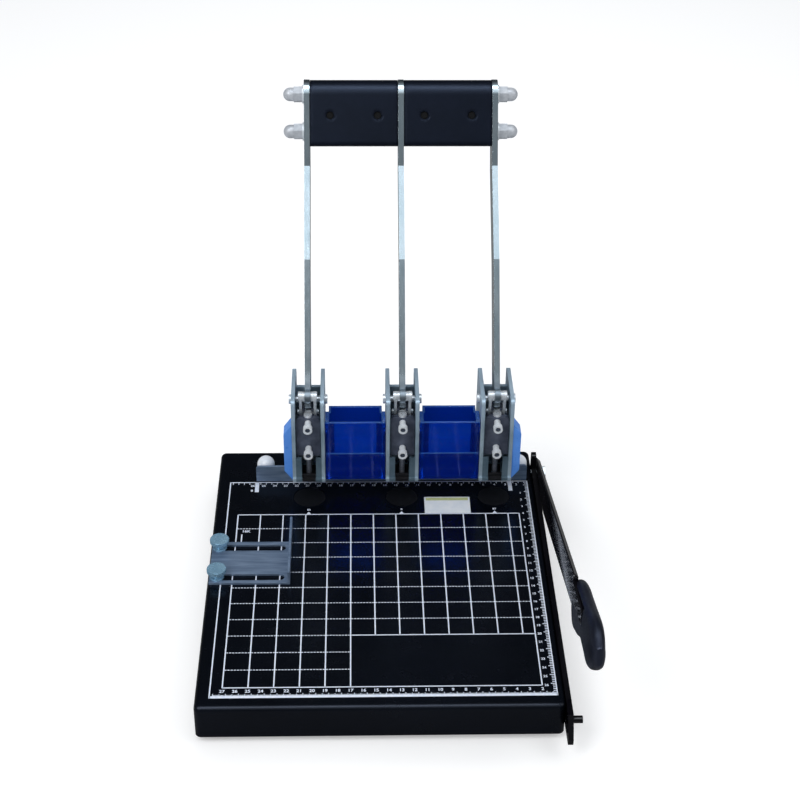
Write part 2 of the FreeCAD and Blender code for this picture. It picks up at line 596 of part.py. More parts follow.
# ---------------------------------------------------------------- links
def links(label, place):
    """Two flat links from the crank pin down to the ram's pin."""
    reach = "link_half"
    corners = []
    for end, along in ((0, f"-{reach}"), (1, reach)):
        for side in ((-1, 1) if end else (1, -1)):
            down = f"({along} + {end} * link_length)"
            beside = f"{side} * link_half"
            corners.append((
                f"{CRANK_Y} + {down} * sin(link_lean_angle) + {beside} * cos(link_lean_angle)",
                f"{CRANK_Z} - {down} * cos(link_lean_angle) + {beside} * sin(link_lean_angle)"))
    pair = []
    for name, inner in (("link_right", "link_inside"), ("link_left", "-link_inside - link_thick")):
        blank = plate(name, "YZ", corners, "link_thick", level=inner,
                      rounds=[(range(4), "link_half - run_gap")])
        span = (f"{inner} - cut_over", f"{inner} + link_thick + cut_over")
        pair.append(cut(name + "_bored", blank,
                        bar("x", "crank_pin_radius + fit_gap", span, CRANK_Y, CRANK_Z),
                        bar("x", "link_pin_radius + fit_gap", span, LINK_Y, LINK_Z)))
    node(f"links_{label}", group("link_pair", *pair), place)
    link_outside = "link_inside + link_thick + fit_gap"
    crank_pin = [bar("x", "crank_pin_radius", ("-crank_pin_reach", "crank_pin_reach"),
                     CRANK_Y, CRANK_Z)]
    for near, far in (("arm_thick / 2 + slide_gap", "link_inside - fit_gap"),
                      (link_outside, "crank_pin_reach")):
        crank_pin.append(bar("x", "spacer_radius", (near, far), CRANK_Y, CRANK_Z))
        crank_pin.append(bar("x", "spacer_radius", (f"-({far})", f"-({near})"), CRANK_Y, CRANK_Z))
    ram_pin = bar("x", "link_pin_radius", ("-link_pin_reach", "link_pin_reach"), LINK_Y, LINK_Z)
    node(f"link_pins_{label}", group("link_pin_pair", fuse("crank_pin", *crank_pin), ram_pin),
         place)


# ---------------------------------------------------------------- rams and punches
def ram(label, place):
    """The sliding block: punch bore in front, slotted ears for the link pin behind."""
    half = "ram_width / 2"
    blank = plate("ram_blank", "XZ", [(f"-{half}", RAM_BOTTOM), (half, RAM_BOTTOM),
                                      (half, RAM_TOP), (f"-{half}", RAM_TOP)],
                  "ram_depth", level=f"-({RAM_REAR})", rounds=[((2, 3), "ram_shoulder")])
    ear_front = "punch_row + ear_front"
    ear_rear = f"{RAM_REAR} + ear_tail"
    ear_top = f"{LINK_Z} + ear_over_link"
    slot_floor = f"{LINK_Z} - link_pin_radius - link_play"
    slot_roof = f"{LINK_Z} + link_pin_radius + link_play"
    pocket_floor = f"{LINK_Z} - link_half - link_pocket"
    ears = plate("ear_blank", "YZ",
                 [(ear_front, pocket_floor), (ear_rear, pocket_floor),
                  (ear_rear, f"{ear_top} - ear_chamfer"), (f"{ear_rear} - ear_chamfer", ear_top),
                  (ear_front, ear_top)], "2 * ear_half", centred=True)
    pocket_front = f"{LINK_Y} - sway_front - link_half - link_pocket"
    behind = f"{ear_rear} + cut_over"
    above = f"{ear_top} + cut_over"
    slot_rear = f"{LINK_Y} + sway_rear + link_pin_radius + sway_play"
    pockets = [block(span, (pocket_front, behind), (pocket_floor, above))
               for span in (("ear_half", f"{half} + cut_over"), (f"-{half} - cut_over", "-ear_half"))]
    cheeks = cut("ram_pocketed", blank, *pockets)
    slot_front = f"{LINK_Y} - sway_front - link_pin_radius - sway_play"
    cuts = [
        block(("-ear_slot / 2", "ear_slot / 2"), (ear_front, behind), (slot_floor, above)),
        block(("-ear_half - cut_over", "ear_half + cut_over"), (slot_front, slot_rear),
              (slot_floor, slot_roof)),
        bar("z", "punch_radius + fit_gap", (f"{RAM_BOTTOM} - cut_over", f"{RAM_TOP} + cut_over"),
            "0", "punch_row"),
    ]
    for height in RAM_SCREWS:
        cuts.append(bar("y", "screw_neck_radius + fit_gap", (f"{RAM_FRONT} - cut_over", "punch_row"),
                        "0", height))
    node(f"ram_{label}", cut("ram", fuse("ram_eared", cheeks, ears), *cuts), place)


RAM_SCREWS = (f"{RAM_TOP} - screw_high", f"{RAM_TOP} - screw_low")


def punch(label, place):
    tip = "table_height + punch_lift"
    shaft = bar("z", "punch_radius", (tip, RAM_TOP), "0", "punch_row")
    head = bar("z", "punch_head_radius", (RAM_TOP, f"{RAM_TOP} + punch_head"), "0", "punch_row")
    hollow = turned("Part::Cone", "z", (tip, f"{tip} + punch_hollow"), "0", "punch_row",
                    {"Radius1": "punch_radius * 0.9", "Radius2": "punch_radius * 0.3"}, "hollow")
    node(f"punch_{label}", cut("punch", fuse("punch_blank", shaft, head), hollow), place)


def ram_screws(label, place):
    """Two long clamp screws that press on the punch."""
    screws = []
    tip = "punch_row - punch_radius - fit_gap"
    neck_front = f"{RAM_FRONT} - screw_neck"
    head_front = f"{neck_front} - screw_head"
    for height in RAM_SCREWS:
        neck = bar("y", "screw_neck_radius", (neck_front, tip), "0", height)
        head = bar("y", "screw_head_radius", (head_front, neck_front), "0", height)
        socket = hexagon("y", "socket_radius * 2", (f"{head_front} - cut_over",
                                                    f"{head_front} + socket_depth"), "0", height)
        screws.append(cut("clamp_screw", fuse("clamp_screw_blank", neck, head), socket))
    node(f"ram_screws_{label}", group("clamp_screws", *screws), place)


# ---------------------------------------------------------------- chip boxes and covers
BOX_FRONT = f"{FRAME_FRONT} + box_setback"
BOX_BOTTOM = f"{THROAT_TOP} + box_lift"
PEG_Z = f"{TABLE} + peg_height"
PEG_ROWS = (f"{BOX_FRONT} + peg_front_inset", f"{BOX_FRONT} + peg_front_inset + peg_spacing")
BAYS = {"left": (STATIONS["left"], STATIONS["middle"]),
        "right": (STATIONS["middle"], STATIONS["right"])}


def chip_box(label):
    """An open bin whose ends have blind grooves that drop over pegs on the frames."""
    first, second = BAYS[label]
    left = f"({first} + {FRAME_HALF} + box_gap)"
    right = f"({second} - {FRAME_HALF} - box_gap)"
    rear = f"{BOX_FRONT} + box_depth"
    step = f"{BOX_FRONT} + box_step_row"
    upright = (BOX_BOTTOM, f"{BOX_BOTTOM} + box_height")
    inside = (f"{BOX_BOTTOM} + box_wall", f"{BOX_BOTTOM} + box_height + cut_over")
    wall = "box_step + box_wall"
    skin = fuse("box_skin", block((left, right), (BOX_FRONT, step), upright),
                block((f"{left} + box_step", f"{right} - box_step"), (step, rear), upright))
    cuts = [block((f"{left} + box_end_wall", f"{right} - box_end_wall"),
                  (f"{BOX_FRONT} + box_wall", f"{step} - box_wall"), inside),
            block((f"{left} + {wall}", f"{right} - ({wall})"),
                  (f"{BOX_FRONT} + box_wall", f"{rear} - box_wall"), inside)]
    groove_deep = "peg_reach - box_gap + peg_play"
    groove_half = "(peg_radius + peg_play)"
    for low, high in ((f"{left} - cut_over", f"{left} + {groove_deep}"),
                      (f"{right} - ({groove_deep})", f"{right} + cut_over")):
        for row in PEG_ROWS:
            cuts.append(block((low, high), (f"{row} - {groove_half}", f"{row} + {groove_half}"),
                              (f"{BOX_BOTTOM} - cut_over", f"{PEG_Z} + peg_radius + fit_gap")))
    node(f"chip_box_{label}", cut("box", skin, *cuts))


def box_pegs():
    pegs = []
    for first, second in BAYS.values():
        for face, sign in ((f"({first} + {FRAME_HALF})", "+"), (f"({second} - {FRAME_HALF})", "-")):
            for row in PEG_ROWS:
                pegs.append(outward("peg_radius", face, sign, "0", "peg_reach", (row, PEG_Z)))
    node("box_pegs", group("peg_set", *pegs))


def end_cover(label, face, sign):
    """A solid moulded cover on the outer face of an outermost frame."""
    outer = f"{face} {sign} cover_thick"
    low = THROAT_TOP
    high = f"{THROAT_TOP} + cover_height"
    corners = [(face, low), (outer, f"{low} + cover_slope"), (outer, f"{high} - cover_slope"),
               (face, high)]
    if sign == "-":
        corners = corners[::-1]
    body = plate(f"cover_{label}", "XZ", corners, "cover_depth",
                 level=f"-({BOX_FRONT} + cover_depth)", rounds=[((1, 2), "cover_round")])
    node(f"end_cover_{label}", body)


# ---------------------------------------------------------------- paper fence
KNOBS = [(f"({STATIONS['left']} - knob_left_over)", "knob_row"),
         (f"({STATIONS['right']} + knob_right_over)", "knob_row")]
FENCE_FOOT = f"{TABLE} + slide_gap"
TAB_TOP = f"{FENCE_FOOT} + fence_thick"


def slot(axis, half, span, other, z):
    """A slot along x or y between the centres of its two round ends."""
    low, high = span
    beside = (f"{other} - {half}", f"{other} + {half}")
    middle = block(span, beside, z) if axis == "x" else block(beside, span, z)
    ends = [bar("z", half, z, *((end, other) if axis == "x" else (other, end)))
            for end in (low, high)]
    return fuse("slot", middle, *ends)


def paper_fence():
    """An upright plate with a slotted tab at each end; it slides to set the margin."""
    left = f"({STATIONS['left']} - fence_left_over)"
    right = f"({STATIONS['right']} + fence_right_over)"
    top = f"{FENCE_FOOT} + fence_height"
    rear = "fence_row + fence_thick"
    wall = plate("fence_wall", "XZ", [(left, FENCE_FOOT), (right, FENCE_FOOT), (right, top),
                                      (left, top)], "fence_thick", level=f"-({rear})",
                 rounds=[((2, 3), "fence_corner")])
    tail = "knob_row + tab_tail"
    tabs = [block((left, f"{left} + tab_width"), (rear, tail), (FENCE_FOOT, TAB_TOP)),
            block((f"{right} - tab_width", right), (rear, tail), (FENCE_FOOT, TAB_TOP))]
    half = "(stud_radius + stud_play)"
    slots = [slot("y", half, (y, f"{y} + fence_travel"), x,
                  (f"{FENCE_FOOT} - cut_over", f"{TAB_TOP} + cut_over")) for x, y in KNOBS]
    node("paper_fence", cut("fence", fuse("fence_blank", wall, *tabs), *slots))


def fence_knob(label, x, y):
    """A domed knob with its stud and the nut below the table."""
    seat = f"{TAB_TOP} + slide_gap"
    shoulder = f"{seat} + knob_skirt"
    knob = fuse("knob", bar("z", "knob_radius", (seat, shoulder), "0", y),
                ball("knob_radius", "0", y, shoulder),
                bar("z", "stud_radius", (f"{UNDER_TABLE} - base_nut_high - thread_spare", seat), "0", y))
    node(f"fence_knob_{label}", group("knob_set", knob, table_nut("0", y)), x)


# ---------------------------------------------------------------- side guide
THUMBS = [("(thumb_inset - base_width / 2)", "thumb_rear"),
          ("(thumb_inset - base_width / 2)", "-thumb_front")]
GUIDE_TOP = f"{TABLE} + slide_gap + guide_sheet"


def side_guide():
    """A slotted plate with a long upright edge that the paper lies against."""
    foot = f"{TABLE} + slide_gap"
    left = "(guide_left_inset - base_width / 2)"
    right = "(guide_right_inset - base_width / 2)"
    flat = block((left, right), ("-guide_front", "guide_rear"), (foot, GUIDE_TOP))
    wall = block((f"{right} - guide_sheet", right), ("-guide_front", "guide_wall_rear"),
                 (foot, f"{foot} + guide_wall"))
    slots = [slot("x", "guide_slot_half", (x, f"{x} + guide_travel"), y,
                  (f"{foot} - cut_over", f"{GUIDE_TOP} + cut_over")) for x, y in THUMBS]
    node("side_guide", cut("guide", fuse("guide_blank", flat, wall), *slots))


def thumb_screw(label, x, y):
    """A knurled clamp screw: neck through the slot, collar on the plate, nut below."""
    collar = f"{GUIDE_TOP} + fit_gap"
    head = f"{GUIDE_TOP} + thumb_lift"
    screw = fuse("thumb",
                 bar("z", "thumb_neck", (f"{TABLE} + fit_gap", head), "0", y),
                 bar("z", "thumb_collar", (collar, f"{collar} + thumb_collar_thick"), "0", y),
                 bar("z", "thumb_radius", (head, f"{head} + thumb_thick"), "0", y),
                 bar("z", "base_screw_radius", (f"{UNDER_TABLE} - base_nut_high - thread_spare",
                                                f"{TABLE} + fit_gap"), "0", y))
    node(f"thumb_screw_{label}", group("thumb_set", screw, table_nut("0", y)), x)


# ---------------------------------------------------------------- trimmer knife
RAIL_INNER = "base_width / 2"
RAIL_OUTER = "base_width / 2 + rail_thick"
KNIFE_Z = f"{TABLE} - knife_pivot_drop"
RAIL_SCREWS = ("-rail_screw_front", "0", "rail_screw_rear")
RAIL_SCREW_Z = f"{TABLE} - rail_depth / 2"
KNIFE_INNER = f"{RAIL_OUTER} + knife_gap"
KNIFE_OUTER = f"{KNIFE_INNER} + knife_thick"


def cutter_bar():
    """The fixed shear rail on the side of the table, with a tail and a rear ear."""
    floor = f"{TABLE} - rail_depth"
    corners = [("-rail_front - rail_tail", floor), ("rail_rear", floor),
               ("rail_rear", f"{TABLE} + rail_ear"),
               ("rail_rear - rail_ear_long", f"{TABLE} + rail_ear"),
               ("rail_rear - rail_ear_long - rail_ear_slope", TABLE), ("-rail_front", TABLE),
               ("-rail_front - rail_tail", f"{floor} + rail_nose")]
    blank = plate("rail_blank", "YZ", corners, "rail_thick", level=RAIL_INNER,
                  rounds=[((2, 3), "rail_ear_long / 3")])
    through = (f"{RAIL_INNER} - cut_over", f"{RAIL_OUTER} + cut_over")
    holes = [bar("x", "bolt_radius + run_gap", through, "knife_pivot_row", KNIFE_Z),
             bar("x", "stop_radius + fit_gap", through, "-stop_row", f"{TABLE} - stop_drop")]
    holes += [bar("x", "base_screw_radius + run_gap",
                  (f"{RAIL_INNER} - cut_over", f"{RAIL_OUTER} - rail_skin + run_gap"), y, RAIL_SCREW_Z)
              for y in RAIL_SCREWS]
    node("cutter_bar", cut("rail", blank, *holes))


def bar_screws():
    """Screws from inside the tray that hold the rail."""
    face = f"{RAIL_INNER} - tray_wall"
    screws = []
    for y in RAIL_SCREWS:
        head = bar("x", "base_screw_head", (f"{face} - base_screw_head_high", face),
                   y, RAIL_SCREW_Z)
        shank = bar("x", "base_screw_radius", (face, f"{RAIL_OUTER} - rail_skin"), y, RAIL_SCREW_Z)
        screws.append(fuse("rail_screw", head, shank))
    node("bar_screws", group("rail_screws", *screws))


def knife_frame(thing):
    """Lays a piece drawn level, with the pivot at its origin, at the raised knife's angle."""
    thing.Placement = Placement(Vector(), Rotation(Vector(1, 0, 0), -1))
    bind(thing, {"Placement.Rotation.Angle": "-knife_raise_angle"})
    return put(thing, "0", "knife_pivot_row", KNIFE_Z)


def knife_blade():
    """A flat blade bevelled along its lower edge, with a tang for the grip."""
    corners = [("knife_tail", "-knife_half"), ("knife_tail", "knife_half"),
               ("-knife_reach", "knife_half"), ("-knife_reach", "tang_half"),
               ("-knife_reach - tang_length", "tang_half / 2"),
               ("-knife_reach - tang_length", "-tang_half"), ("-knife_reach", "-tang_half"),
               ("-knife_reach", "-knife_half")]
    body = plate("blade_blank", "YZ", corners, "knife_thick", level=KNIFE_INNER,
                 rounds=[((0, 1), "knife_half / 2"), ((2, 7), "knife_half / 4")])
    doc.recompute()
    lower = -sheet.get("knife_half")
    outer_face = max(face.CenterOfMass.x for face in body.Tip.Shape.Faces)

    def cutting_edge(edge):
        ends = [vertex.Point for vertex in edge.Vertexes]
        return all(abs(end.z - lower) < 1e-4 and abs(end.x - outer_face) < 1e-4 for end in ends)
    dress(body, "PartDesign::Chamfer", "Size", cutting_edge, "knife_bevel")
    bore = bar("x", "bolt_radius + run_gap", (f"{KNIFE_INNER} - cut_over", f"{KNIFE_OUTER} + cut_over"),
               "0", "0")
    node("knife_blade", knife_frame(cut("blade", body, bore)))


GRIP_FORM = [
    # along the grip, then its rise, sink and half width, each as a share of the full size
    (0, 0.46, 1, 0.9), (0.026, 0.56, 1, 0.96), (0.07, 0.72, 1, 1), (0.122, 0.82, 0.96, 1),
    (0.191, 0.9, 0.93, 1), (0.278, 0.9, 0.84, 0.98), (0.365, 0.88, 0.745, 0.97),
    (0.452, 0.89, 0.735, 0.97), (0.539, 0.91, 0.77, 0.97), (0.609, 0.94, 0.8, 0.97),
    (0.678, 0.98, 0.86, 0.96), (0.739, 1, 0.87, 0.95), (0.809, 0.92, 0.79, 0.93),
    (0.878, 0.67, 0.69, 0.88), (0.939, 0.27, 0.59, 0.76), (0.983, 0, 0.48, 0.55),
    (1, -0.12, 0.41, 0.3),
]
GRIP_POINTS = 12
GRIP_SQUARENESS = 2.6


def knife_grip():
    """A moulded hand grip with two finger swells below, lofted through soft-cornered sections."""
    size = {alias: float(sheet.get(alias)) for alias in ALIASES}
    wires = []
    for along, rise_share, sink_share, side_share in GRIP_FORM:
        rise = size["grip_rise"] * rise_share
        sink = size["grip_sink"] * sink_share
        middle = (rise - sink) / 2
        points = []
        for number in range(GRIP_POINTS):
            turn = 2 * math.pi * number / GRIP_POINTS
            beside, up = (math.copysign(abs(share) ** (2 / GRIP_SQUARENESS), share)
                          for share in (math.cos(turn), math.sin(turn)))
            points.append(Vector(size["grip_side"] * side_share * beside,
                                 -size["grip_length"] * along,
                                 middle + (rise + sink) / 2 * up))
        ring = Part.BSplineCurve()
        ring.interpolate(Points=points, PeriodicFlag=True)
        wires.append(Part.Wire([ring.toShape()]))
    form = doc.addObject("Part::Feature", "grip_form")
    form.Shape = Part.makeLoft(wires, True, False)
    put(form, f"{KNIFE_INNER} + grip_side", "grip_overlap - knife_reach", "0")
    beside = (f"{KNIFE_INNER} - cut_over", f"{KNIFE_OUTER} + fit_gap")
    rebate = block(beside, ("-knife_reach - fit_gap", "grip_overlap - knife_reach + cut_over"),
                   ("-knife_half - fit_gap", "knife_half + fit_gap"))
    slit = block(beside, ("-knife_reach - tang_length - fit_gap", "-knife_reach"),
                 ("-tang_half - fit_gap", "tang_half + fit_gap"))
    node("knife_grip", knife_frame(cut("grip_moulding", form, rebate, slit)))


def pivot_hardware():
    """Bolt, washer and nut at the knife's pivot."""
    inside = f"{RAIL_INNER} - tray_wall"
    washer_face = f"{KNIFE_OUTER} + fit_gap"
    nut_face = f"{washer_face} + knife_washer_thick"
    nut_end = f"{nut_face} + knife_nut_hex"
    centre = ("knife_pivot_row", KNIFE_Z)
    node("knife_pivot_bolt", fuse("pivot_bolt",
                                  bar("x", "bolt_head_radius", (f"{inside} - bolt_head", inside),
                                      *centre),
                                  bar("x", "bolt_radius", (inside, nut_end),
                                      *centre)))
    node("knife_washer", cut("pivot_washer",
                             bar("x", "washer_radius", (washer_face, nut_face), *centre),
                             bar("x", "bolt_radius", (washer_face, nut_face), *centre)))
    node("knife_nut", cut("pivot_nut", hexagon("x", "nut_flats", (nut_face, nut_end), *centre),
                          bar("x", "bolt_radius", (nut_face, nut_end), *centre)))
    node("rail_peg", group("peg", bar("x", "stop_radius",
                                      (f"{RAIL_INNER} + fit_gap",
                                       f"{RAIL_OUTER} + peg_column_reach"),
                                      "-stop_row", f"{TABLE} - stop_drop")))


# ---------------------------------------------------------------- put together
def build():
    base_tray()
    base_feet()
    frame_screws()
    for label, place in STATIONS.items():
        cutting_disc(label, place)
        punch_frame(label, place)
        stripper(label, place)
        pivot_pin(label, place)
        lever_arm(label, place)
        links(label, place)
        ram(label, place)
        punch(label, place)
        ram_screws(label, place)
    handle()
    box_pegs()
    for label in BAYS:
        chip_box(label)
    end_cover("left", f"{STATIONS['left']} - {FRAME_HALF}", "-")
    end_cover("right", f"{STATIONS['right']} + {FRAME_HALF}", "+")
    paper_fence()
    side_guide()
    for label, (x, y) in zip(("left", "right"), KNOBS):
        fence_knob(label, x, y)
    for label, (x, y) in zip(("rear", "front"), THUMBS):
        thumb_screw(label, x, y)
    cutter_bar()
    bar_screws()
    knife_blade()
    knife_grip()
    pivot_hardware()


build()
doc.recompute()
failed = [thing.Label for thing in doc.Objects
          if "Invalid" in thing.State or "Error" in thing.State]
for label, thing in NODES.items():
    if thing.Shape.isNull() or not thing.Shape.isValid():
        failed.append(label)
if failed:
    raise SystemExit("failed: " + ", ".join(failed))
os.makedirs("parts", exist_ok=True)
for label, thing in NODES.items():
    thing.Shape.exportStep(f"parts/{label}.step")
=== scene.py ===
"""Looks of the lever paper drill: finishes, table print and small trim on its solids."""

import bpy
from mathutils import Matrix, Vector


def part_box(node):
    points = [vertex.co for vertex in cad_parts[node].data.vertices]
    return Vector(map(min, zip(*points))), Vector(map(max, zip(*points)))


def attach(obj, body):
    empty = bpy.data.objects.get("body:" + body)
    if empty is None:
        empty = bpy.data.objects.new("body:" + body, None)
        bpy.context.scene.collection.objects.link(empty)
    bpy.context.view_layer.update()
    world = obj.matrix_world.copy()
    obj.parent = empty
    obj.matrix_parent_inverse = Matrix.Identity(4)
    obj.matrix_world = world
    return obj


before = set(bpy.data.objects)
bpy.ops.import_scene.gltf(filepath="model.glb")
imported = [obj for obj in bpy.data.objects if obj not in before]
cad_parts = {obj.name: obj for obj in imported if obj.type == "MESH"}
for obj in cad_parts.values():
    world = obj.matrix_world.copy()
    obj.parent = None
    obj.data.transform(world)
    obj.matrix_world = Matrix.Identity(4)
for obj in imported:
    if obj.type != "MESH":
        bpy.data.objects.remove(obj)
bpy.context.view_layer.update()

import math

import bmesh
import bpy
from mathutils import Matrix, Vector


# ---- Desk, lamps and camera ---------------------------------------------------------------
# A white desk that runs on as its own backdrop, lit by three soft boxes and an even room.
# Polished parts mirror dim walls, darkest behind the desk, and one bright light overhead.
DESK_REACH = 6
desk_mesh = bpy.data.meshes.new("desk")
desk_mesh.from_pydata([(-DESK_REACH, -DESK_REACH, 0), (DESK_REACH, -DESK_REACH, 0),
                       (DESK_REACH, DESK_REACH, 0), (-DESK_REACH, DESK_REACH, 0)],
                      [], [(0, 1, 2, 3)])
desk = bpy.data.objects.new("desk", desk_mesh)
bpy.context.scene.collection.objects.link(desk)


def step(tree, kind, given=(), **settings):
    """A node with its settings, and its inputs set to values or joined to outputs."""
    made = tree.nodes.new(kind)
    for name, value in settings.items():
        setattr(made, name, value)
    for key, value in dict(given).items():
        if isinstance(value, bpy.types.NodeSocket):
            tree.links.new(value, made.inputs[key])
        else:
            made.inputs[key].default_value = value
    return made


def reckon(tree, operation, *given):
    """The result of one sum on patterns and plain numbers."""
    return step(tree, "ShaderNodeMath", dict(enumerate(given)), operation=operation).outputs[0]


def climb(tree, source, start, end, top):
    """0 on the near side of start, top on the far side of end, and an even slope between."""
    return step(tree, "ShaderNodeMapRange", {"Value": source, "From Min": start,
                                             "From Max": end, "To Max": top}).outputs[0]


def seen_directly(tree):
    """1 for rays from the camera or through glass, 0 for the light on things."""
    path = step(tree, "ShaderNodeLightPath").outputs
    return reckon(tree, "MAXIMUM", path["Is Camera Ray"], path["Is Transmission Ray"])


# The desk is white to the eye and grey in mirrors, so that black enamel on it stays black.
DESK_WHITE, DESK_IN_MIRRORS, DESK_GLOW = 0.8, 0.2, 0.34
desk_white = bpy.data.materials.new("desk_white")
desk_white.use_nodes = True
tree = desk_white.node_tree
tree.nodes.clear()
in_mirrors = step(tree, "ShaderNodeLightPath").outputs["Is Glossy Ray"]
white = reckon(tree, "MULTIPLY_ADD", in_mirrors, DESK_IN_MIRRORS - DESK_WHITE, DESK_WHITE)
board = step(tree, "ShaderNodeBsdfDiffuse", {"Color": white})
glow = step(tree, "ShaderNodeEmission",
            {"Color": (1, 1, 1, 1),
             "Strength": reckon(tree, "MULTIPLY", seen_directly(tree), DESK_GLOW)})
both = step(tree, "ShaderNodeAddShader", {0: board.outputs[0], 1: glow.outputs[0]})
step(tree, "ShaderNodeOutputMaterial", {"Surface": both.outputs[0]})
desk_mesh.materials.append(desk_white)


def shade(value):
    """A colour as it is, or a plain level as a grey."""
    return value if isinstance(value, tuple) else (value, value, value, 1)


def ramp(tree, source, *stops):
    """Shades along a source. Each stop is a place on it with a colour or a plain level."""
    shades = step(tree, "ShaderNodeValToRGB", {"Fac": source})
    elements = shades.color_ramp.elements
    elements[0].position, elements[1].position = stops[0][0], stops[-1][0]
    for place, _ in stops[1:-1]:
        elements.new(place)
    for element, (_, value) in zip(elements, stops):
        element.color = shade(value)
    return shades.outputs["Color"]


# Both the walls' light and the overhead light lean towards the front by their tilt.
ROOM_FILL = 0.55
WALLS_TILT, WALLS_SCALE, WALLS_STRENGTH = -0.35, 0.944, 4
WALL_LEVELS = ((0.38, 0.012), (0.58, 0.03), (0.75, 0.05), (0.83, 0.06), (0.915, 0.22),
               (1, 0.235))
OVERHEAD_TILT, OVERHEAD_START, OVERHEAD_FULL, OVERHEAD_STRENGTH = -0.18, 0.985, 1.005, 4.5
room = bpy.data.worlds.new("room")
bpy.context.scene.world = room
room.use_nodes = True
tree = room.node_tree
tree.nodes.clear()
towards = step(tree, "ShaderNodeTexCoord").outputs["Generated"]
parts = step(tree, "ShaderNodeSeparateXYZ", {0: towards}).outputs
raised = reckon(tree, "MULTIPLY_ADD", parts["Y"], WALLS_TILT, parts["Z"])
walls = ramp(tree, reckon(tree, "MULTIPLY", raised, WALLS_SCALE), *WALL_LEVELS)
leaning = reckon(tree, "MULTIPLY_ADD", parts["Y"], OVERHEAD_TILT, parts["Z"])
overhead = climb(tree, leaning, OVERHEAD_START, OVERHEAD_FULL, OVERHEAD_STRENGTH)
fill = step(tree, "ShaderNodeBackground", {"Color": (0.93, 0.96, 1, 1), "Strength": ROOM_FILL})
mirrored = step(tree, "ShaderNodeBackground",
                {"Color": (0.88, 0.94, 1, 1),
                 "Strength": reckon(tree, "MULTIPLY_ADD", walls, WALLS_STRENGTH, overhead)})
backdrop = step(tree, "ShaderNodeBackground", {"Color": (1, 1, 1, 1), "Strength": 1})
in_mirrors = step(tree, "ShaderNodeLightPath").outputs["Is Glossy Ray"]
by_ray = step(tree, "ShaderNodeMixShader",
              {"Fac": in_mirrors, 1: fill.outputs[0], 2: mirrored.outputs[0]})
around = step(tree, "ShaderNodeMixShader",
              {"Fac": seen_directly(tree), 1: by_ray.outputs[0], 2: backdrop.outputs[0]})
step(tree, "ShaderNodeOutputWorld", {"Surface": around.outputs[0]})

LAMPS_AIM = (0, 0, 0.1)
for name, place, size, watts in (
    ("soft_box_left", (-0.9, -0.9, 1.5), 1.0, 14),
    ("soft_box_right", (1.1, -0.3, 1.3), 0.8, 4),
    ("soft_box_rear", (0.1, 1.2, 1.4), 0.9, 6),
):
    lamp = bpy.data.lights.new(name, "AREA")
    lamp.size = size
    lamp.energy = watts
    holder = bpy.data.objects.new(name, lamp)
    holder.location = place
    holder.visible_glossy = name != "soft_box_rear"
    away = Vector(place) - Vector(LAMPS_AIM)
    holder.rotation_euler = away.to_track_quat("Z", "Y").to_euler()
    bpy.context.scene.collection.objects.link(holder)

# A long lens looks down on the drill from the front.
mm = 0.001
EYE = (-15.981, -1107.799, 947.559)
EYE_TURN, EYE_DOWN, EYE_ROLL = -1.72774, 33.75721, 0.69186
lens = bpy.data.cameras.new("viewer")
lens.lens = 75.23
lens.sensor_width = 36
lens.clip_end = 20
viewer = bpy.data.objects.new("viewer", lens)
viewer.matrix_world = (
    Matrix.Translation([length * mm for length in EYE])
    @ Matrix.Rotation(math.radians(EYE_TURN), 4, "Z")
    @ Matrix.Rotation(math.radians(90 - EYE_DOWN), 4, "X")
    @ Matrix.Rotation(math.radians(EYE_ROLL), 4, "Z")
)
bpy.context.scene.collection.objects.link(viewer)
bpy.context.scene.camera = viewer
bpy.context.scene.view_settings.view_transform = "Standard"


# ---- Base tray ----------------------------------------------------------------------------
# A shallow tray pressed from sheet steel, with rolled edges. It is stoved in black enamel,
# which dries glossy with a faint orange peel.
def tone(red, green, blue):
    """A paint colour as given, 0 to 255, in the shader's own linear units."""
    return tuple(((c / 255 + 0.055) / 1.055) ** 2.4 if c > 10 else c / 255 / 12.92
                 for c in (red, green, blue)) + (1,)


def quality(made, socket):
    """The shader's own input for one quality of a finish."""
    return made.node_tree.nodes["Principled BSDF"].inputs[socket]


def finish(name, colour, roughness, **sockets):
    """A new material with even qualities, set on the shader itself. Patterns may vary them."""
    made = bpy.data.materials.new(name)
    made.use_nodes = True
    quality(made, "Base Color").default_value = colour
    quality(made, "Roughness").default_value = roughness
    for socket, value in sockets.items():
        quality(made, socket.replace("_", " ")).default_value = value
    return made


def grain(made, size, stretch=(1, 1, 1)):
    """A cloudy noise through the piece, from 0 to 1. size is its grain in millimetres."""
    tree = made.node_tree
    spot = step(tree, "ShaderNodeTexCoord").outputs["Object"]
    scaled = step(tree, "ShaderNodeMapping", {"Vector": spot, "Scale": stretch}).outputs[0]
    return step(tree, "ShaderNodeTexNoise",
                {"Vector": scaled, "Scale": 1 / (size * mm), "Detail": 3}).outputs["Fac"]


GRAIN_LOW, GRAIN_HIGH = 0.3, 0.7


def vary(made, socket, low, high, size, stretch=(1, 1, 1)):
    """Lets a grain move one quality of the finish between two values."""
    tree = made.node_tree
    spread = ramp(tree, grain(made, size, stretch), (GRAIN_LOW, low), (GRAIN_HIGH, high))
    tree.links.new(spread, quality(made, socket))


def emboss(made, depth, size, stretch=(1, 1, 1), edge=0):
    """Raises the surface by a grain, depth millimetres high. edge is how far corners round."""
    tree = made.node_tree
    bump = step(tree, "ShaderNodeBump", {"Strength": 1, "Distance": depth * mm,
                                         "Height": grain(made, size, stretch)})
    if edge:
        rounded = step(tree, "ShaderNodeBevel", {"Radius": edge * mm}, samples=4)
        tree.links.new(rounded.outputs["Normal"], bump.inputs["Normal"])
    tree.links.new(bump.outputs["Normal"], quality(made, "Normal"))


